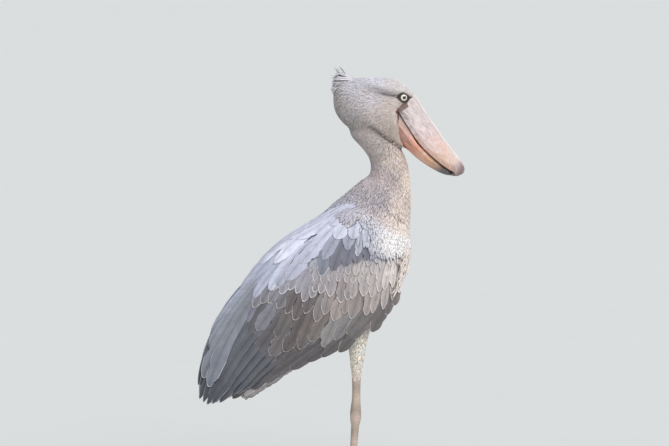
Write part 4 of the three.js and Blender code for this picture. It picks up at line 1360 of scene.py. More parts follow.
def put_vane(vanes, ground, C, N, width, low, high, kind, colour, fringe_colour, fringe, pale, roll, thick, tip_colour, lift, seed, camber):
    a, t = vanes.a, vanes.t
    T = unit(np.gradient(C, axis=0))
    X = unit(np.cross(N, T))
    rng = np.random.default_rng(int(seed * 7919) % 100003)
    w = np.maximum(outline(kind, a), 0.015) * width / 2 * rng.uniform(0.9, 1.08)
    wob = 1 + 0.045 * np.sin(a * rng.uniform(14, 26) + rng.uniform(0, 6)) * smooth(a, 0.3, 0.7)
    # a vane is never whole: the barbs part here and there
    tt = np.tile(t, (len(a), 1))
    for col in (0, len(t) - 1):
        tt[2:-1, col] *= 1 - 0.06 * rng.random(len(a) - 3)
        for _ in range(rng.integers(0, 3)):
            tt[rng.integers(len(a) // 3, len(a) - 2), col] *= 1 - rng.uniform(0.08, 0.26)
    skewed = rng.normal(0, 0.06) * width * smooth(a, 0.5, 1.0)
    top = C[:, None] + X[:, None] * ((w * wob)[:, None] * tt + skewed[:, None])[..., None]
    h = low + (high - low) * a + (lift + rng.uniform(0, 0.5)) * smooth(a, 0.72, 1.0)
    H = h[:, None] + camber * width * (1 - tt ** 2) * np.minimum(w / w.max() * 1.2, 1)[:, None] - roll * rng.uniform(0.5, 1.4) * tt
    if ground is not None:
        top, nor = ground.at(top, H)
        nor = unit(nor.mean(1))
    else:
        nor = unit(np.cross(T, X))
        nor = nor * np.where((nor * N).sum(1) < 0, -1, 1)[:, None]
        top = top + nor[:, None] * H[..., None]
    vanes.items.append((top, nor, w, kind, thick, np.asarray(colour, float), np.asarray(fringe_colour, float), fringe, pale, seed,
                        None if tip_colour is None else np.asarray(tip_colour, float), C))


def free(vanes, root, tip, normal, width, kind, colour, bow=0.0, sweep=0.0, **more):
    """A large feather held only at its root, in a shallow bow from root to tip, swept back by sweep halfway."""
    root, tip, normal = (np.array(q, float) for q in (root, tip, normal))
    a = vanes.a[:, None]
    N = unit(normal - unit(tip - root) * (normal @ unit(tip - root)))
    across = np.cross(N, unit(tip - root))
    across = across * (-1 if across[0] > 0 else 1)
    C = root + (tip - root) * a + (N * bow + across * sweep) * 4 * a * (1 - a)
    N = np.tile(N, (len(C), 1))
    opts = dict(low=0.0, high=0.0, fringe_colour=(0.8, 0.8, 0.8), fringe=0.0, pale=0.0, roll=0.0, thick=0.45, tip_colour=None,
                lift=0.0, seed=0.0, camber=0.03)
    opts.update(more)
    put_vane(vanes, None, C, N, width, opts["low"], opts["high"], kind, colour, opts["fringe_colour"], opts["fringe"], opts["pale"],
             opts["roll"], opts["thick"], opts["tip_colour"], opts["lift"], opts["seed"], opts["camber"])


# ------------------------------------------------------------------ making it all
GAP = [(60, 90), (-60, 66), (-150, 40), (-230, 14), (-300, 3), (-460, 3)]  # half-width of the open back between the wings


def gap_at(x):
    xs, ys = zip(*GAP[::-1])
    return np.interp(x, xs, ys)


def wing_sheet():
    """The arm and hand of the folded wing: a closed sheet under its feathers."""
    G, n, S, T = wing_guide(10.5, 0.93, 11.5, 84, 12, 26)
    ns, nt = T.shape
    top = G.copy()
    # the upper edge stops at the open back
    for i in range(ns):
        limit = gap_at(G[i, :, 0]) + 2
        ok = -G[i, :, 1] >= limit
        first = int(np.argmax(ok)) if ok.any() else nt - 2
        top[i, :first] = G[i, first]
        n[i, :first] = n[i, first]
    low = top - n * 2.4
    V = np.concatenate([top.reshape(-1, 3), low.reshape(-1, 3)])
    q = grid_faces(ns, nt)
    rim = np.concatenate([np.arange(nt), np.arange(1, ns) * nt + nt - 1, (ns - 1) * nt + np.arange(nt - 2, -1, -1), np.arange(ns - 2, 0, -1) * nt])
    r2 = np.roll(rim, -1)
    return V, [q, q[:, ::-1] + ns * nt, np.stack([r2, rim, rim + ns * nt, r2 + ns * nt], 1)]


def join_into(ob, parts, others=()):
    """Adds closed shells and other objects' meshes to an object's mesh."""
    tools = list(others)
    for i, (V, F) in enumerate(parts):
        tools.append(mesh_object(f"shell_{i}", V, F, ride=False))
    import bmesh
    bm = bmesh.new()
    bm.from_mesh(ob.data)
    for t in tools:
        bm.from_mesh(t.data)
        bpy.data.objects.remove(t)
    bmesh.ops.remove_doubles(bm, verts=bm.verts, dist=1e-6)
    bmesh.ops.recalc_face_normals(bm, faces=bm.faces)
    bm.to_mesh(ob.data)
    bm.free()


rng = np.random.default_rng(11)
plume, vane, skin_mat = plume_material(), vane_material(), skin_material()

skin, shanks = make_skin()
skinV, _ = coords_of(skin.data)
skin.data.calc_loop_triangles()
tri = np.empty(len(skin.data.loop_triangles) * 3, np.int32)
skin.data.loop_triangles.foreach_get("vertices", tri)
tri = tri.reshape(-1, 3)
legV, _ = coords_of(shanks.data)
shanks.data.calc_loop_triangles()
leg_tri = np.empty(len(shanks.data.loop_triangles) * 3, np.int32)
shanks.data.loop_triangles.foreach_get("vertices", leg_tri)
leg_tri = leg_tri.reshape(-1, 3)
leg_mid = legV[leg_tri].mean(1)
leg_bvh = BVHTree.FromPolygons(legV.tolist(), leg_tri.tolist())
body_bvh = BVHTree.FromPolygons(skinV.tolist(), tri.tolist())


def within(bvh, P, margin):
    """Whether points lie inside a closed surface, or less than margin outside it."""
    out = np.zeros(len(P), bool)
    for i, p in enumerate(P.tolist()):
        c, n, _, _ = bvh.find_nearest(p)
        out[i] = (Vector(p) - c).dot(n) < margin
    return out


body_mid = skinV[tri].mean(1)
low_body = np.nonzero((body_mid[:, 2] < 565) & (np.abs(body_mid[:, 0]) < 75))[0]
gone = np.zeros(len(tri), bool)
gone[low_body] = within(leg_bvh, body_mid[low_body], 0.8)
leg_ok = (leg_mid[:, 2] > 346) & ~within(body_bvh, leg_mid, -0.8)
tri = np.concatenate([tri[~gone], leg_tri[leg_ok] + len(skinV)])
skinV = np.concatenate([skinV, legV])
skin_bvh = BVHTree.FromPolygons(skinV.tolist(), tri.tolist())
# the fleshy fold at the corner of the mouth
gape = np.array([103.2, -46.0, 1033.5])
corner = ball(gape, 6.6, (0.3, -0.95, 0.0), 18, 28)
slant = unit(np.array([0.24, 0.03, -0.97]))
along_it = (corner[0] - gape) @ slant
corner = (corner[0] + slant * (along_it * 1.4 + 0.5 * np.sin(along_it * 2.6))[:, None], corner[1])
join_into(skin, [both(*wing_sheet()), both(*lids()), both(corner[0], corner[1])], [shanks])
paint_skin(skin, skin_mat)
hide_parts("head", "neck", "trunk", "tail", "wing_r", "wing_l", "tibia_r", "tibia_l", "tarsus_r", "tarsus_l",
            *[f"toe_{n}_{t}" for n in TOES for t in ("r", "l")])
print("skin triangles", len(skin.data.loop_triangles), "sheet and lids added")

make_bill()
make_eyes(skin_mat)
make_claws()

# the ground the wing's feathers lie on
G, gn, GS, GT = wing_guide(9.0)
guide = Ground(G.reshape(-1, 3), grid_faces(*GT.shape), (0, -1, 0.35))
guide_tree = KDTree(GT.size)
for i, p in enumerate(G.reshape(-1, 3)):
    guide_tree.insert(p, i)
guide_tree.balance()
GSf, GTf, Gf, Gn = GS.ravel(), GT.ravel(), G.reshape(-1, 3), gn.reshape(-1, 3)


def under_wing(P, margin=14.0):
    """Whether points lie under the folded wing, more than margin from its edges."""
    out = np.zeros(len(P), bool)
    for i, (x, y, z) in enumerate(P.tolist()):
        if z > 830 or z < 270 or x > 150:
            continue
        _, k, dist = guide_tree.find((x, -abs(y), z))
        s, t = GSf[k], GTf[k]
        if dist > 70 or s > 12.2 or t > 1.2:
            continue
        if s < 3.6 and z > 560:
            out[i] = s > 0.05 and t < 0.96 and dist < 45 and float(np.dot([x, -abs(y), z] - Gf[k], Gn[k])) < 0.5 and not (t < 0.3 and abs(y) < gap_at(x) + margin)
        else:
            out[i] = t < 1 - margin / 260 and abs(y) > gap_at(x) + margin
    return out


# the folded wing's outside, over its feathers
CV, _, CS, CT = wing_guide(1.8, 1.0, 4.6, 90, 30, 40)
cover_quads = grid_faces(*CT.shape)
flatC = CV.reshape(-1, 3)
open_back = (np.abs(flatC[cover_quads][:, :, 1]).min(1) < gap_at(flatC[cover_quads][:, :, 0].mean(1)) + 6)
open_back &= CT.ravel()[cover_quads].mean(1) < 0.3
cover_quads = cover_quads[~open_back]
cover_bvh = bvh_of(flatC, cover_quads)


def guide_at(P):
    """The wing's own coordinates nearest to points, on either side, and how far away."""
    out = np.empty((len(P), 3))
    for i, (x, y, z) in enumerate(P.tolist()):
        _, k, dist = guide_tree.find((x, -abs(y), z))
        out[i] = GSf[k], GTf[k], dist
    return out.T


def at_front_edge(P):
    S, T, dist = guide_at(P)
    return (dist < 50) & (P[:, 2] > 560) & ((S < 1.3) | ((T > 0.7) & (S < 3.6)))


def draped(P, N, roots):
    """Points on the skin, or on the folded wing where that lies outside it."""
    co, no = nearest(skin_bvh, P)
    for i in np.nonzero(at_front_edge(roots))[0]:
        flip = 1 if roots[i, 1] < 0 else -1
        p, n = Vector((P[i, 0], P[i, 1] * flip, P[i, 2])), Vector((N[i, 0], N[i, 1] * flip, N[i, 2]))
        c, m, _, _ = cover_bvh.ray_cast(p + n * 40, -n, 46)
        if c is not None:
            m = -m if m.dot(n) < 0 else m
            co[i], no[i] = (c.x, c.y * flip, c.z), (m.x, m.y * flip, m.z)
    return co, no


# ---- small feathers on the skin
def face_distance(P):
    return np.linalg.norm((P[:, [0, 2]] - EYE[[0, 2]]) / [1.0, 0.86], axis=1)


def bare_face(P):
    lid, lore = bare_parts(P)
    return (lid > 0.5) | (lore > 0.55)


def region(V):
    """How far apart small feathers stand, mm."""
    x, y, z = V.T
    head = smooth(z, 930, 985)
    face = np.exp(-(face_distance(V) / 70.0) ** 2)
    body = 3.75 - 0.2 * smooth(-z, -560, -430)
    neck = smooth(z, 720, 920)
    d = body * (1 - neck) + 2.35 * neck
    d = d * (1 - head) + (2.38 - 0.58 * face) * head
    legs = 1 - smooth(z, 400, 470)
    behind = smooth(-x, 60, 130)
    thigh = legs * (1 - behind)
    d = d * (1 - thigh) + 2.5 * thigh
    return np.where(inside_zone(V, 6.0), d * 0.72, d)


def near_leg(P):
    return (P[:, 2] < 470) & (np.abs(P[:, 0]) < 62) & (np.hypot(np.abs(P[:, 1]) - 58, P[:, 0] * 0.6) < 40)


def coat_keep(P, N):
    keep = (P[:, 2] > 354 + 7 * np.sin(P[:, 0] * 0.55 + 1) * np.cos(P[:, 1] * 0.45)) & ~bare_face(P) & ~inside_zone(P, -3.8) & ~((P[:, 2] < 968) & inside_zone(P, 0.8))
    keep &= ~(inside_zone(P, 0.5) & (np.abs(N[:, 1]) < np.where(P[:, 2] < 1046, 0.3, 0.55)) & (P[:, 2] < 1090))
    return keep


def by_fold(P):
    """Shorter feathers along the fold under the jaw."""
    return 1 - 0.42 * np.exp(-(line_distance(P, JAW_GROOVE) / 10.0) ** 2) * (P[:, 2] > 940) * (np.abs(P[:, 1]) > 12)


def full_fold(P):
    """Broader feathers there, so that they close over the fold."""
    return 1 + 0.55 * np.exp(-(line_distance(P, JAW_GROOVE) / 11.0) ** 2) * (P[:, 2] > 940) * (np.abs(P[:, 1]) > 12)


P, N = spread(skinV, tri, region, coat_keep, rng)
covered = under_wing(P)
P, N = P[~covered], N[~covered]
print("small feathers", len(P), "under the wing", int(covered.sum()))

x, y, z = P.T
D = flow_at(P)
# on the front the lie turns straight down; under the belly it runs back
D[:, 1] += np.where(z < 900, 0.10 * np.sign(y) * smooth(z, 900, 700) * (np.abs(y) < 60), 0)
S_, T_, dist_ = guide_at(P)
edge_near = (T_ > 0.7) & (S_ < 3.6) & (z > 580)
outward = np.where(edge_near, np.exp(-(dist_ / 26.0) ** 2), 0)
D = unit(D + np.stack([-0.50 * outward, 0.30 * outward * np.sign(y), 0 * x], 1))
crease = np.exp(-(line_distance(P, JAW_GROOVE) / 7.0) ** 2) * (z > 940) * (np.abs(y) > 12)
D = unit(D * (1 - 0.75 * crease[:, None]) + 0.75 * crease[:, None] * np.array([-0.80, 0, 0.60]) * (D[:, 2:3] > -2))
tone = tone_at(P)
noise_low = np.sin(x * 0.045 + 1.3 * np.sin(z * 0.03) + y * 0.02) * np.sin(z * 0.04 + y * 0.05)
tone = tone * (1 + 0.06 * noise_low + rng.normal(0, 0.09, len(P)))[:, None]
warm = rng.normal(0, 0.022, (len(P), 1))
tone = tone * (1 + warm * np.array([1.0, 0.1, -1.2]))
is_head = z > 960
# painted shade on the feathers in the groove under the brow
brow_groove_shade = np.exp(-(line_distance(P, BROW_GROOVE) / 4.2) ** 2) * smooth(x, 36, 84) * (np.abs(y) > 20)
tone = tone * (1 - 0.74 * brow_groove_shade)[:, None]
spot = np.exp(-(np.hypot(x - 106.5, z - 1063.5) / 4.0) ** 2) * (np.abs(y) > 20)
tone = tone * (1 - spot[:, None]) + linear((232, 224, 222)) * spot[:, None]
# painted shade along the fold under the jaw, where the cheek hangs over the neck
jaw = np.exp(-(line_distance(P, JAW_GROOVE) / 4.5) ** 2) * is_head
tone = tone * (1 - 0.35 * jaw)[:, None]
is_leg = near_leg(P)
is_back = (z < 880) & (x < 40) & ((N[:, 2] > 0.35) | (x < -200)) & ~is_leg & (z > 420)
is_neck = (z > 860) & ~is_head
is_body = ~(is_head | is_leg | is_back | is_neck)
gap_s = region(P)

head_map = unwrap(HEAD_RIBS, (-0.2, 9.2))
body_map = unwrap(BODY_RIBS, (-0.2, 20.2))


def leg_map(P):
    a = np.arctan2(np.abs(P[:, 1]) - 57, P[:, 0])
    u = np.clip((P[:, 2] - 345) / 230, 0, 1)
    return np.stack([0.01 + 0.97 * u, np.where(P[:, 1] < 0, 0.01, 0.51) + 0.47 * (a + np.pi) / (2 * np.pi)], 1)


def pick(mask):
    return P[mask], N[mask], D[mask], tone[mask], gap_s[mask]


def coat(name, mask, length, width, mapper, **opts):
    p, n, d, c, g = pick(mask)
    if not len(p):
        return
    k = len(p)
    L = length(p, g) * rng.uniform(0.85, 1.2, k)
    W = width(p, g) * rng.uniform(0.85, 1.15, k)
    L = L * (1 - 0.42 * crease[mask])
    if callable(opts.get("high")):
        opts["high"] = opts["high"](p)
    leaves(name, skin_bvh, p, n, d, L, W, c, rng, mapper(p), material=plume, **opts)
    print(name, k, "feathers", k * 24, "triangles")


face = lambda p: np.exp(-(face_distance(p) / 75.0) ** 2)
front_head = is_head & (x > 55)
# soft: weak painted shade at the root and painted light at the tip
soft = dict(painted_root_shade=0.86, painted_tip_light=1.08)
coat("coat_face", front_head, lambda p, g: (10.5 + 6 * (1 - face(p))) * by_fold(p), lambda p, g: (1.9 + 0.6 * (1 - face(p))) * full_fold(p), head_map, low=0.2, high=0.7,
     thick=0.06, **soft)
shaggy = lambda p: 1.0 + 2.4 * smooth(-p[:, 0], 8, 46) * smooth(p[:, 2], 1010, 1060)
coat("coat_crown", is_head & ~front_head, lambda p, g: (18.0 + 6 * smooth(-p[:, 0], 8, 46)) * by_fold(p), lambda p, g: (2.6 + 0 * g) * full_fold(p), head_map, low=0.3,
     high=shaggy, **soft)
grown = lambda p: smooth(-p[:, 2], -930, -700)
longer, wider, raised = (lambda p, g: (27.0 + 15 * grown(p)) * by_fold(p)), (lambda p, g: (3.3 + 3.7 * grown(p)) * full_fold(p)), (lambda p: 1.3 + 1.3 * grown(p))
coat("coat_neck", is_neck, longer, wider, body_map, low=0.3, high=raised, over=draped, **soft)
coat("coat_breast", is_body & (z > 600), longer, wider, body_map, low=0.4, high=raised, over=draped, **soft)
coat("coat_belly", is_body & (z <= 600), lambda p, g: 38.0 + 0 * g, lambda p, g: 8.4 + 0 * g, body_map, low=0.4, high=3.0, over=draped, **soft)
coat("coat_back", is_back, lambda p, g: longer(p, g) * 1.05, lambda p, g: 4.8 + 8.0 * smooth(-p[:, 2], -860, -740), body_map, low=0.6, high=2.8, over=draped, **soft)
bushy = lambda p: smooth(p[:, 2], 356, 425)
coat("coat_legs", is_leg, lambda p, g: 11.0 + 14 * bushy(p), lambda p, g: 3.2 + 2.0 * bushy(p), leg_map, low=0.3,
     high=lambda p: 0.5 + 3.4 * bushy(p), **soft)


# ---- the wing's feathers
LIE = [  # u, v, du, dv on the side view's grid
    (404, 240, 0.05, 1), (395, 290, -0.14, 0.99), (372, 300, -0.12, 0.99), (350, 300, -0.1, 0.99), (332, 298, -0.12, 0.99),
    (350, 275, -0.12, 0.99), (315, 296, -0.3, 0.95), (290, 290, -0.42, 0.9), (265, 296, -0.55, 0.83), (372, 330, -0.5, 0.86),
    (335, 335, -0.42, 0.9), (300, 335, -0.34, 0.94),
    (262, 352, -0.66, 0.75), (232, 352, -0.55, 0.83), (212, 372, -0.4, 0.92), (345, 240, -0.35, 0.94), (372, 240, -0.06, 1),
    (305, 250, -0.64, 0.77), (262, 272, -0.68, 0.73), (236, 310, -0.6, 0.8), (330, 225, -0.66, 0.75), (252, 385, -0.75, 0.66),
]
WING_TONES = [
    (392, 236, (252, 248, 248)), (406, 258, (228, 218, 214)), (360, 232, (198, 198, 210)), (330, 232, (200, 202, 218)),
    (300, 244, (220, 223, 240)), (268, 268, (218, 222, 238)), (345, 250, (124, 126, 135)), (375, 252, (178, 178, 190)),
    (395, 275, (226, 216, 213)), (365, 280, (192, 184, 183)), (330, 285, (172, 166, 170)), (295, 285, (166, 164, 174)),
    (380, 305, (174, 165, 161)), (340, 312, (160, 150, 147)), (295, 315, (110, 103, 102)), (262, 305, (138, 136, 144)),
    (365, 335, (116, 112, 116)), (330, 342, (128, 126, 130)), (290, 350, (102, 98, 98)), (255, 340, (120, 122, 132)),
    (230, 320, (156, 160, 174)), (210, 365, (134, 138, 147)), (250, 380, (104, 102, 108)),
]


def lie_at(u, v):
    q = np.array([(a, b) for a, b, _, _ in LIE], float)
    w = (((q - [u, v]) ** 2).sum(1) + 12.0) ** -1.7
    d = (w[:, None] * np.array([(c, -e) for _, _, c, e in LIE])).sum(0)
    return d / np.linalg.norm(d)


def wing_tone(u, v):
    q = np.array([(a, b) for a, b, _ in WING_TONES], float)
    w = (((q - [u, v]) ** 2).sum(1) + 16.0) ** -1.8
    c = np.array([linear(t) for _, _, t in WING_TONES])
    return (w[:, None] * c).sum(0) / w.sum()


WHITE = linear((240, 236, 234))
PALE = linear((214, 208, 206))
wing_rng = np.random.default_rng(5)
count = [0]


def feather(vanes, u, v, length, width, low, high, kind="covert", colour=None, way=None, fringe=0.0, pale=0.0, edge=WHITE, bend=0.0,
            roll=0.6, tip_colour=None, vary=0.05, **more):
    count[0] += 1
    d = lie_at(u, v) if way is None else np.array([way[0], -way[1]]) / np.hypot(*way)
    a = wing_rng.normal(0, 0.03)
    d = np.array([d[0] * math.cos(a) - d[1] * math.sin(a), d[0] * math.sin(a) + d[1] * math.cos(a)])
    c = wing_tone(u, v) if colour is None else linear(colour)
    c = c * (1 + wing_rng.normal(0, vary))
    if tip_colour is not None:
        tip_colour = linear(tip_colour)
    lay(vanes, guide, px(u, v), d, length, width, low, high, kind, c, edge, fringe, pale, bend, roll, seed=count[0] * 1.37,
        tip_colour=tip_colour, **more)


base = Vanes("wing_base", "low")
lower = Vanes("wing_secondaries", "big")
greater = Vanes("wing_greater", "big")
median = Vanes("wing_median", "big")
lesser = Vanes("wing_lesser", "mid")
scapular = Vanes("wing_scapulars", "big")

# an under-layer, so that nothing bare shows between the larger ones
for row, v in enumerate(np.arange(222, 404, 7.5)):
    for u in np.arange(192 + 4 * (row % 2), 412, 8.5):
        p = px(u, v)
        hit = guide.bvh.ray_cast(Vector((p[0], -700, p[1])), Vector((0, 1, 0)))
        if hit[0] is None:
            continue
        _, k, _ = guide_tree.find(hit[0])
        if GTf[k] > 1.0 or GSf[k] > 12.1 or (v > 330 and GTf[k] > 0.9):
            continue
        feather(base, u, v, 52, 30, 0.0, 1.6, "covert", fringe=1.2, pale=0.5, edge=PALE, roll=0.4)

# secondaries and the inner primaries, from the lower edge up
for u, v, way, L, W in [
        (232, 397, (-.62, .78), 200, 34), (241, 391, (-.68, .74), 200, 34), (255, 382, (-.74, .68), 200, 34),
        (272, 374, (-.78, .64), 190, 34), (290, 366, (-.78, .64), 180, 34), (306, 358, (-.76, .66), 170, 34)]:
    feather(lower, u, v, L, W, 0.3, 1.2, "flight", way=way, fringe=1.3, pale=0.6, edge=PALE, colour=(103, 100, 102), roll=0.5, thick=0.6)
for u, v, way, L, W, c in [
        (393, 303, (-.28, .96), 120, 30, (128, 122, 120)), (386, 312, (-.32, .95), 130, 31, (120, 115, 115)),
        (378, 321, (-.40, .92), 140, 32, (112, 108, 109)), (370, 328, (-.50, .87), 145, 32, (116, 111, 111)),
        (358, 331, (-.61, .79), 150, 33, (124, 119, 118)), (350, 337, (-.6, .8), 150, 33, (116, 112, 112)),
        (338, 348, (-.68, .73), 160, 34, (112, 108, 108)), (322, 354, (-.7, .71), 160, 34, (106, 102, 103))]:
    feather(lower, u, v, L, W, 0.8, 2.0, "flight", way=way, fringe=1.4, pale=0.8, edge=PALE, colour=c, roll=0.6, thick=0.6, vary=0.08)
for u, v, way, L, W, c in [
        (270, 352, (-.56, .83), 150, 36, (110, 106, 108)), (252, 358, (-.60, .80), 170, 36, (106, 103, 106)), (284, 348, (-.50, .86), 150, 36, (118, 112, 112)),
        (300.3, 345.9, (-.34, .94), 160, 38, (122, 115, 113)), (312, 338, (-.40, .92), 140, 34, (128, 121, 118)),
        (322.7, 342.9, (-.4, .92), 150, 36, (140, 138, 137)), (335.5, 336.2, (-.54, .84), 140, 35, (132, 129, 131)),
        (347, 330, (-.56, .83), 130, 32, (122, 118, 118)), (291, 338, (-.42, .91), 130, 36, (114, 108, 107)),
        (278, 334, (-.46, .89), 130, 36, (118, 113, 113)), (259.5, 328.3, (-.5, .86), 130, 42, (128, 128, 136)),
        (243, 340, (-.6, .8), 150, 38, (112, 111, 116))]:
    feather(lower, u, v, L, W, 1.6, 3.0, "flight", way=way, fringe=1.5, pale=0.95, edge=PALE, colour=c, roll=0.7, thick=0.6, vary=0.08)

# greater coverts
for u, v, W in [(397, 291, 27), (390, 297.4, 28), (381, 306, 29), (371.8, 309.5, 30), (365, 311.4, 32), (351.2, 314.4, 36), (343, 309, 36),
                (333, 316.2, 38), (324, 310, 36), (315, 317, 36), (305, 309, 36), (294.2, 315.6, 38), (286, 309, 36), (278.5, 304.7, 36),
                (270, 300, 36), (262, 300, 38), (255, 305, 36)]:
    feather(greater, u, v, 104, W * 0.94, 2.8, 4.6, fringe=1.8, pale=1.0, edge=linear((232, 224, 216)), roll=0.8, thick=0.5, bend=-0.08)

# median coverts
for u, v in [(404, 276), (398.5, 281), (390, 285), (382.7, 286.5), (377.3, 288.3), (370, 293), (361, 292), (351, 293.8), (347, 295.6),
             (339.7, 298), (330, 292), (327, 287.7), (321, 289), (314.8, 287.7), (311, 293), (305, 297.4), (297, 289), (290.6, 286.5),
             (281, 290), (274, 287)]:
    feather(median, u, v, 74, 26, 4.4, 6.3, fringe=2.3, pale=1.0, edge=WHITE, roll=0.9, bend=-0.06)

# lesser coverts, row above row
for row, (lift, tips) in enumerate([
        (5.6, [(406, 263), (399, 268), (392, 272), (385, 274), (376, 277), (368, 281), (360, 280), (353, 279), (346, 278), (338, 277), (330, 277),
               (322, 278), (314, 276)]),
        (6.0, [(407, 255), (400, 258), (394, 261), (387, 263), (379, 266), (371, 270), (363, 270), (355, 271), (347, 270), (340, 270)]),
        (6.8, [(389, 254), (382, 255), (375, 259), (367, 262)])]):
    for u, v in tips:
        feather(lesser, u, v, 52 - 4 * row, 20, lift - 3.4, lift + 1.2, fringe=1.9, pale=1.0, edge=WHITE, roll=0.7)

# scapulars over all of it, longest behind
for u, v, way, L, W, c, h, edge in [
        (239.5, 295.5, (-.62, .78), 190, 50, (170, 178, 196), 5.6, 0.4), (252, 284, (-.64, .77), 170, 46, (180, 186, 204), 6.0, 0.3),
        (256, 296, (-.62, .78), 150, 44, (184, 189, 206), 5.4, 0.3), (270.5, 287, (-.6, .8), 150, 44, (206, 209, 227), 6.2, 0.4),
        (279, 283, (-.58, .81), 140, 42, (188, 190, 206), 6.6, 0.3),
        (263.8, 264.5, (-.71, .7), 170, 44, (222, 227, 243), 7.4, 0.4), (276, 262, (-.68, .73), 140, 42, (226, 230, 246), 7.6, 0.3),
        (288, 277.5, (-.56, .83), 140, 50, (190, 192, 210), 7.2, 0.4), (285, 251, (-.72, .69), 130, 42, (218, 222, 239), 8.0, 0.3),
        (345, 262, (-.25, .97), 100, 40, (118, 119, 131), 6.8, 0.4), (333, 266, (-.3, .95), 105, 38, (122, 123, 134), 6.9, 0.3),
        (319.5, 271, (-.35, .94), 125, 42, (138, 141, 154), 7.1, 1.0), (355, 259, (-.15, .99), 80, 32, (120, 121, 132), 6.9, 0.3),
        (303, 261.5, (-.58, .81), 120, 48, (188, 190, 208), 8.0, 0.4), (312, 250, (-.6, .8), 110, 44, (196, 198, 216), 8.4, 0.3),
        (324, 256, (-.45, .9), 100, 38, (164, 167, 183), 8.2, 0.5), (300, 241, (-.7, .71), 110, 44, (214, 218, 235), 8.6, 0.3),
        (366, 257, (0, 1), 80, 30, (126, 127, 138), 7.2, 0.4), (376, 250, (.05, 1), 70, 32, (166, 168, 182), 7.6, 0.5),
        (357, 252, (-.1, 1), 66, 22, (176, 179, 192), 8.4, 1.2), (346, 246, (-.25, .97), 76, 34, (158, 161, 175), 8.2, 0.3),
        (337, 237, (-.4, .92), 80, 44, (202, 205, 221), 8.9, 0.3), (318, 233, (-.62, .78), 100, 44, (208, 212, 229), 9.0, 0.3),
        (366, 240, (-.04, 1), 60, 32, (186, 189, 203), 8.6, 0.4), (352, 236, (-.2, .98), 64, 36, (192, 195, 210), 8.9, 0.3),
        (382, 242, (.05, 1), 52, 28, (196, 196, 206), 8.2, 0.6), (332, 225, (-.55, .83), 80, 40, (200, 203, 219), 9.3, 0.3),
        (348, 226, (-.3, .95), 60, 36, (194, 197, 212), 9.3, 0.3), (365, 228, (-.08, 1), 52, 32, (192, 194, 207), 9.2, 0.3)]:
    feather(scapular, u, v, L, W, h - 2.2, h, "scapular", colour=c, way=way, fringe=1.1 if edge < 0.9 else 1.6, pale=edge, roll=0.9,
            edge=linear((232, 234, 244)), thick=0.5, bend=-0.05, lift=0.6)

# over the back's edge, to where the two wings meet
for i, x0 in enumerate(np.linspace(-78, -305, 10)):
    for j, out in enumerate((4, 26)):
        yy = -(gap_at(x0) + out)
        back_z = np.interp(-x0, [14, 34, 70, 112, 155, 198, 239, 282, 315, 336], [815, 812, 791, 764, 737, 706, 668, 616, 564, 516])
        tip = np.array([x0 - 10 * j, yy, back_z + 6])
        co, no = nearest(guide.bvh, tip[None])
        d = np.array([-0.78, -0.02 - 0.05 * j, -0.62])
        c = linear((206, 209, 226)) * (1 + wing_rng.normal(0, 0.06)) * (1 - 0.12 * smooth(np.array(-x0), 200, 300))
        count[0] += 1
        lay(scapular, guide, co[0], d, 96, 42, 5.2 - j * 0.3, 8.2 - j * 0.4, "scapular", c, linear((232, 234, 244)), 1.0, 0.3, 0.0, 0.5 if j else 0.0,
            thick=0.5, seed=count[0] * 1.37)

# tertials: pale, brown-streaked and white along the lower edge, over a dark gap
for u, v, way, L, W, c, h, fr in [
        (246, 322, (-.6, .8), 150, 40, (134, 136, 148), 3.6, 1.2), (226.5, 323.5, (-.64, .77), 190, 54, (176, 178, 192), 5.2, 3.0),
        (233, 309, (-.6, .8), 170, 46, (150, 156, 172), 5.9, 0.8), (243, 303, (-.58, .81), 150, 44, (164, 169, 186), 5.7, 0.8)]:
    feather(scapular, u, v, L, W, h - 2.4, h, "flight", colour=c, way=way, fringe=fr, pale=1.0, edge=linear((236, 234, 238)), roll=1.0,
            thick=0.6, bend=-0.05)

# small plumes from the neck's base run out over the front of the folded wing
quads = cover_quads
tri_c = np.concatenate([quads[:, [0, 1, 2]], quads[:, [0, 2, 3]]])
mids = CS.ravel()[tri_c].mean(1)
tri_c = tri_c[mids < 3.2]
for tag, flip in (("r", 1), ("l", -1)):
    srng = np.random.default_rng(31 if flip > 0 else 37)
    SV = flatC * [1, flip, 1]
    order = tri_c if flip > 0 else tri_c[:, ::-1]
    SP, SN = spread(SV, order, lambda V: np.full(len(V), 3.3), lambda P, N: np.ones(len(P), bool), srng)
    SN = SN * np.where((SN * [0.2, -flip, 0.4]).sum(1) < 0, -1, 1)[:, None]
    ss, st, _ = guide_at(SP)
    su, sv = 356 + SP[:, 0] / 2.6, 512 - SP[:, 2] / 2.6
    waver = srng.normal(0, 1, len(SP))
    ok = (ss + 0.2 * waver < 1.15) | ((su > 370 + 4 * waver) & (sv < 245 + 3 * waver))
    SP, SN, ss, su, sv = SP[ok], SN[ok], ss[ok], su[ok], sv[ok]
    SD = np.array([[d[0], 0, d[1]] for d in (lie_at(a, b) for a, b in zip(su, sv))])
    body_lie = flow_at(SP)
    mixed = smooth(ss, 0.1, 1.0)[:, None]
    SD = unit(body_lie * (1 - mixed) + SD * mixed)
    st_tone = np.array([wing_tone(a, b) for a, b in zip(su, sv)])
    st_tone = tone_at(SP) * (1 - mixed) + st_tone * mixed
    st_tone = st_tone * (1 + srng.normal(0, 0.07, (len(SP), 1)))
    shoulder_bvh = BVHTree.FromPolygons(SV.tolist(), [list(map(int, q)) for q in (quads if flip > 0 else quads[:, ::-1])])

    def on_wing(Q, N, R):
        co, no = nearest(shoulder_bvh, Q)
        return co, no * np.where((no * N).sum(1) < 0, -1, 1)[:, None]

    k = len(SP)
    leaves(f"wing_shoulder_{tag}", shoulder_bvh, SP - SN * 2.5, SN, SD, srng.uniform(20, 31, k), srng.uniform(6.0, 9.0, k), st_tone, srng,
           body_map(SP), low=1.6, high=3.0, material=plume, slot="wing_feathers", over=on_wing, **soft)
    print("wing_shoulder", tag, k, "feathers", k * 24, "triangles")

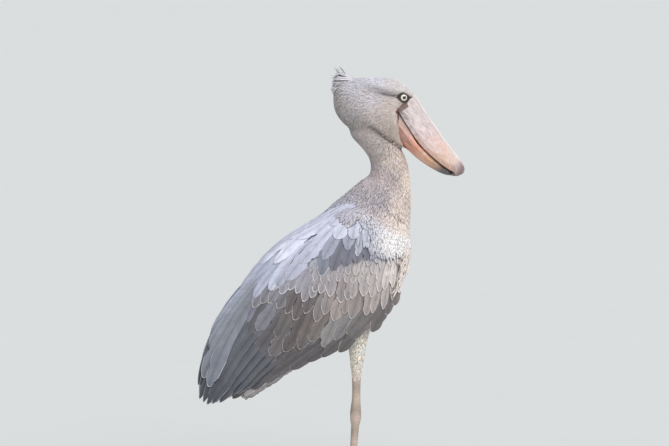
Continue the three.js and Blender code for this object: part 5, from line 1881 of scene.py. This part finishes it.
# the lining: small coverts on the wing's inner side
LV, _, LS, LT = wing_guide(13.6, 0.95, 11.6, 80, 10, 34)
lq, flatL = grid_faces(*LT.shape), LV.reshape(-1, 3)
lq = lq[(LT.ravel()[lq].mean(1) > 0.42) & (LS.ravel()[lq].mean(1) > 1.5)]
tri_l = np.concatenate([lq[:, [0, 1, 2]], lq[:, [0, 2, 3]]])
for tag, flip in (("r", 1), ("l", -1)):
    lrng = np.random.default_rng(41 if flip > 0 else 43)
    SV = flatL * [1, flip, 1]
    lining_bvh = BVHTree.FromPolygons(SV.tolist(), tri_l.tolist())
    SP, SN = spread(SV, tri_l, lambda V: np.full(len(V), 8.0), lambda P, N: np.ones(len(P), bool), lrng)
    inner = np.array([0, flip, 0.0])
    SN = SN * np.where((SN @ inner) < 0, -1, 1)[:, None]
    ok = ~within(body_bvh, SP, 1.0)
    SP, SN = SP[ok], SN[ok]
    SD = np.array([[d[0], 0, d[1]] for d in (lie_at(356 + a / 2.6, 512 - b / 2.6) for a, b in SP[:, [0, 2]])])

    def on_lining(Q, N, R):
        co, no = nearest(lining_bvh, Q)
        return co, no * np.where((no @ inner) < 0, -1, 1)[:, None]

    k = len(SP)
    c = linear((186, 180, 180)) * (1 + lrng.normal(0, 0.08, (k, 1)))
    leaves(f"wing_lining_{tag}", lining_bvh, SP, SN, SD, lrng.uniform(34, 50, k), lrng.uniform(13, 18, k), c, lrng,
           np.stack([0.01 + 0.97 * np.clip((SP[:, 0] + 350) / 520, 0, 1), 0.01 + 0.97 * np.clip((SP[:, 2] - 240) / 620, 0, 1)], 1),
           low=0.6, high=2.2, material=plume, slot="wing_feathers", over=on_lining, **soft)
    print("wing_lining", tag, k, "feathers", k * 24, "triangles")

for group, slot in ((base, "wing_feathers"), (lower, "wing_feathers"), (greater, "wing_feathers"), (median, "wing_feathers"),
                    (lesser, "wing_feathers"), (scapular, "wing_feathers")):
    for tag, flip in (("r", 1), ("l", -1)):
        group_name = group.name
        group.name = f"{group_name}_{tag}"
        ob = group.build(vane, slot, flip)
        group.name = group_name
    print(group.name, len(group.items), "feathers a side,", len(ob.data.polygons) * 2, "triangles a side")

# primaries and the longest tertials: rooted under the scapulars, swept down along the rear
outer = Vanes("wing_primaries", "big")


def rooted(x0, z0, depth):
    q = guide.side((x0, z0))
    return np.array([q[0], q[1] + depth, q[2]])


for i, (rx, rz, tip, sweep, w, c) in enumerate([
        (-190, 420, (-318, -60, 306), 2, 36, (94, 95, 101)), (-204, 436, (-336, -61, 298), 2, 36, (97, 99, 105)),
        (-218, 452, (-354, -62, 290), 3, 36, (100, 102, 110)), (-232, 470, (-372, -62, 286), 4, 34, (100, 102, 109)), (-240, 500, (-386, -58, 284), 8, 34, (104, 106, 113)),
        (-250, 530, (-397, -54, 290), 11, 34, (108, 111, 119)), (-256, 556, (-405, -49, 297), 13, 34, (113, 116, 124)),
        (-262, 578, (-409, -44, 312), 15, 33, (118, 121, 129)), (-264, 592, (-408, -38, 332), 16, 32, (123, 127, 135)),
        (-264, 598, (-404, -32, 356), 16, 31, (130, 134, 143)), (-262, 602, (-397, -27, 382), 14, 30, (138, 142, 152)),
        (-260, 606, (-388, -23, 408), 12, 28, (146, 151, 162))]):
    free(outer, rooted(rx, rz, 10.5 - 0.6 * i), tip, (-0.16, -0.95, 0.22), w, "primary", linear(c) * (1 + wing_rng.normal(0, 0.04)), bow=5.0,
         sweep=sweep, fringe=1.2, pale=0.7, fringe_colour=PALE, seed=900.3 + i * 2.1, thick=0.8, camber=0.05, roll=1.0,
         tip_colour=linear((84, 86, 95)))
for i, (rx, rz, tip, sweep, w, c, h) in enumerate([
        (-236, 602, (-383, -66, 331), 13, 40, (134, 137, 146), 0), (-242, 606, (-394, -58, 352), 15, 38, (144, 148, 158), 0),
        (-246, 614, (-386, -48, 398), 13, 36, (156, 160, 173), 0), (-248, 620, (-374, -40, 440), 11, 36, (166, 171, 186), 0)]):
    free(outer, rooted(rx, rz, 3.0 - 0.8 * i), tip, (-0.2, -0.93, 0.28), w, "flight", linear(c), bow=6.0, sweep=sweep, fringe=1.6, pale=0.9,
         fringe_colour=linear((226, 226, 232)), seed=950.1 + i, thick=0.7, camber=0.05, roll=1.0, tip_colour=linear((128, 132, 142)))
for tag, flip in (("r", 1), ("l", -1)):
    outer.name = f"wing_primaries_{tag}"
    outer.build(vane, "wing_feathers", flip)

# ---- tail
tail = Vanes("tail_feathers", "big")
for i in range(12):
    s = -1 + 2 * i / 11
    root = np.array([-250 - 6 * abs(s), 14 * s, 438 - 4 * abs(s)])
    tip = np.array([-388 + 22 * s * s, 44 * s, 279 + 9 * s * s])
    free(tail, root, tip, (-0.74, 0.45 * s, 0.66), 30, "flight", linear((96, 98, 106)) * (1 + wing_rng.normal(0, 0.05)), bow=4.0,
         fringe=1.2, pale=0.5, fringe_colour=PALE, seed=700 + i * 3.3, thick=0.9, low=3.2 - 4.6 * abs(s), high=3.2 - 4.6 * abs(s),
         camber=0.06)
for row, (x0, z0, n, length, w, hh) in enumerate([(-322, 384, 7, 95, 30, 5.5), (-300, 426, 7, 85, 28, 9.0), (-285, 462, 6, 75, 28, 11.0)]):
    for i in range(n):
        s = -1 + 2 * i / (n - 1)
        tip = np.array([x0 - 4 * (1 - s * s), 36 * s, z0 - 6 * s * s])
        root = tip + [length * 0.64, -12 * s, length * 0.78]
        free(tail, root, tip, (-0.75, 0.5 * s, 0.62), w, "covert", linear((122, 124, 134)) * (1 + wing_rng.normal(0, 0.05)), bow=3.0,
             fringe=1.2, pale=0.6, fringe_colour=PALE, seed=760 + row * 20 + i * 1.7, thick=0.6, low=hh * 0.3, high=hh * 0.3, camber=0.06)
for row, (x0, z0, n, length, w) in enumerate([(-345, 300, 7, 120, 30), (-318, 318, 7, 110, 28), (-290, 342, 6, 100, 28), (-262, 362, 6, 90, 26)]):
    for i in range(n):
        s = -1 + 2 * i / (n - 1)
        tip = np.array([x0, 34 * s, z0 + 4 * s * s])
        root = tip + [length * 0.72, -6 * s, length * 0.60]
        free(tail, root, tip, (0.62, 0.3 * s, -0.74), w, "covert", linear((170, 166, 168)) * (1 + wing_rng.normal(0, 0.05)), bow=4.0,
             fringe=1.0, pale=0.6, fringe_colour=PALE, seed=800 + row * 20 + i * 1.7, thick=0.5, camber=0.06)
tail.build(vane, "tail_feathers")

# ---- crest
crest = Vanes("crest_plumes", "mid")


def head_point(p, out):
    c, n, _, _ = skin_bvh.find_nearest(Vector(p))
    return np.array(c + n * out)


for i in range(150):
    a = wing_rng.random() ** 0.85  # 0 along the crown, 1 down the nape
    y0 = wing_rng.uniform(-1, 1)
    free_end = wing_rng.random() ** 0.6  # how far out of the head the tip stands
    root = head_point([-6 - 42 * a + wing_rng.uniform(-8, 8), 24 * y0, 1130 - 26 * a ** 1.4], 0.6)
    far = np.array([-63 + 4 * a, (11 + 10 * a) * y0, 1142 - 42 * a ** 1.1 - 5 * y0 ** 2])
    close_in = head_point(root + [-26 + 8 * a, 0, -3 - 20 * a], 2.5)
    tip = close_in * (1 - free_end) + far * free_end + wing_rng.normal(0, 1, 3) * [3.6, 3.0, 2.6]
    free(crest, root, tip, (-0.2 - 0.5 * a, 0.5 * y0, 1), wing_rng.uniform(7.0, 12.0) * (1.15 - 0.4 * free_end), "covert",
         linear((224, 221, 228)) * wing_rng.uniform(0.78, 1.06), bow=wing_rng.uniform(0.5, 4.5), sweep=wing_rng.normal(0, 2.0),
         seed=500 + i * 1.9, thick=0.3, camber=0.12)
for i in range(9):
    y0 = wing_rng.uniform(-1, 1)
    root = np.array([-26 + wing_rng.uniform(-8, 8), 10 * y0, 1125])
    tip = np.array([-46 + wing_rng.uniform(-14, 14), 9 * y0 + wing_rng.normal(0, 3), 1150 + wing_rng.uniform(-5, 9)])
    free(crest, root, tip, (-0.5, 0.4 * y0, 0.8), wing_rng.uniform(1.8, 3.0), "primary", linear((206, 203, 210)) * wing_rng.uniform(0.8, 1.1),
         bow=4.0, seed=860 + i * 1.7, thick=0.25, camber=0.08)
crest.build(vane, "plumage")


# ------------------------------------------------------------------ camera, light and floor
def studio():
    scene = bpy.context.scene
    aim = Vector(((-55.9 + SHIFT) / 1000, 0.0, 0.7514))
    tilt, away = math.radians(4.0), 9.0
    cam = bpy.data.objects.new("camera", bpy.data.cameras.new("camera"))
    scene.collection.objects.link(cam)
    back = Vector((0.0, -math.cos(tilt), math.sin(tilt)))
    cam.location = aim + back * away
    cam.rotation_mode = "QUATERNION"
    cam.rotation_quaternion = (-back).to_track_quat("-Z", "Y")
    cam.data.sensor_width = 36
    cam.data.lens = 36 * away / 1.7394
    cam.data.clip_end = 1000
    scene.camera = cam

    sun = bpy.data.lights.new("key", "SUN")
    sun.energy = 2.2
    sun.angle = math.radians(38)
    sun.color = (1.0, 0.985, 0.96)
    key = bpy.data.objects.new("key", sun)
    key.rotation_mode = "QUATERNION"
    key.rotation_quaternion = Vector((-0.34, 0.78, -0.86)).to_track_quat("-Z", "Y")
    scene.collection.objects.link(key)

    world = bpy.data.worlds.new("studio")
    scene.world = world
    world.use_nodes = True
    bg = world.node_tree.nodes["Background"]
    bg.inputs[0].default_value = (0.90, 0.93, 1.0, 1)
    bg.inputs[1].default_value = 0.62

    n = 96
    f = 2 * np.pi * np.arange(n) / n
    V = np.concatenate([np.stack([400000 * np.cos(f), 400000 * np.sin(f), 0 * f], 1), [[0, 0, 0]]])
    V[:, 0] -= SHIFT
    k = np.arange(n)
    mat = simple_material("floor_paint", (214, 216, 214), 0.9, 0.2, noise_scale=3, amount=0.03)
    floor = mesh_object("floor", V, [np.stack([k, (k + 1) % n, np.full(n, n)], 1)], mat, is_smooth=False, ride=False)
    scene.view_settings.view_transform = "Standard"


studio()
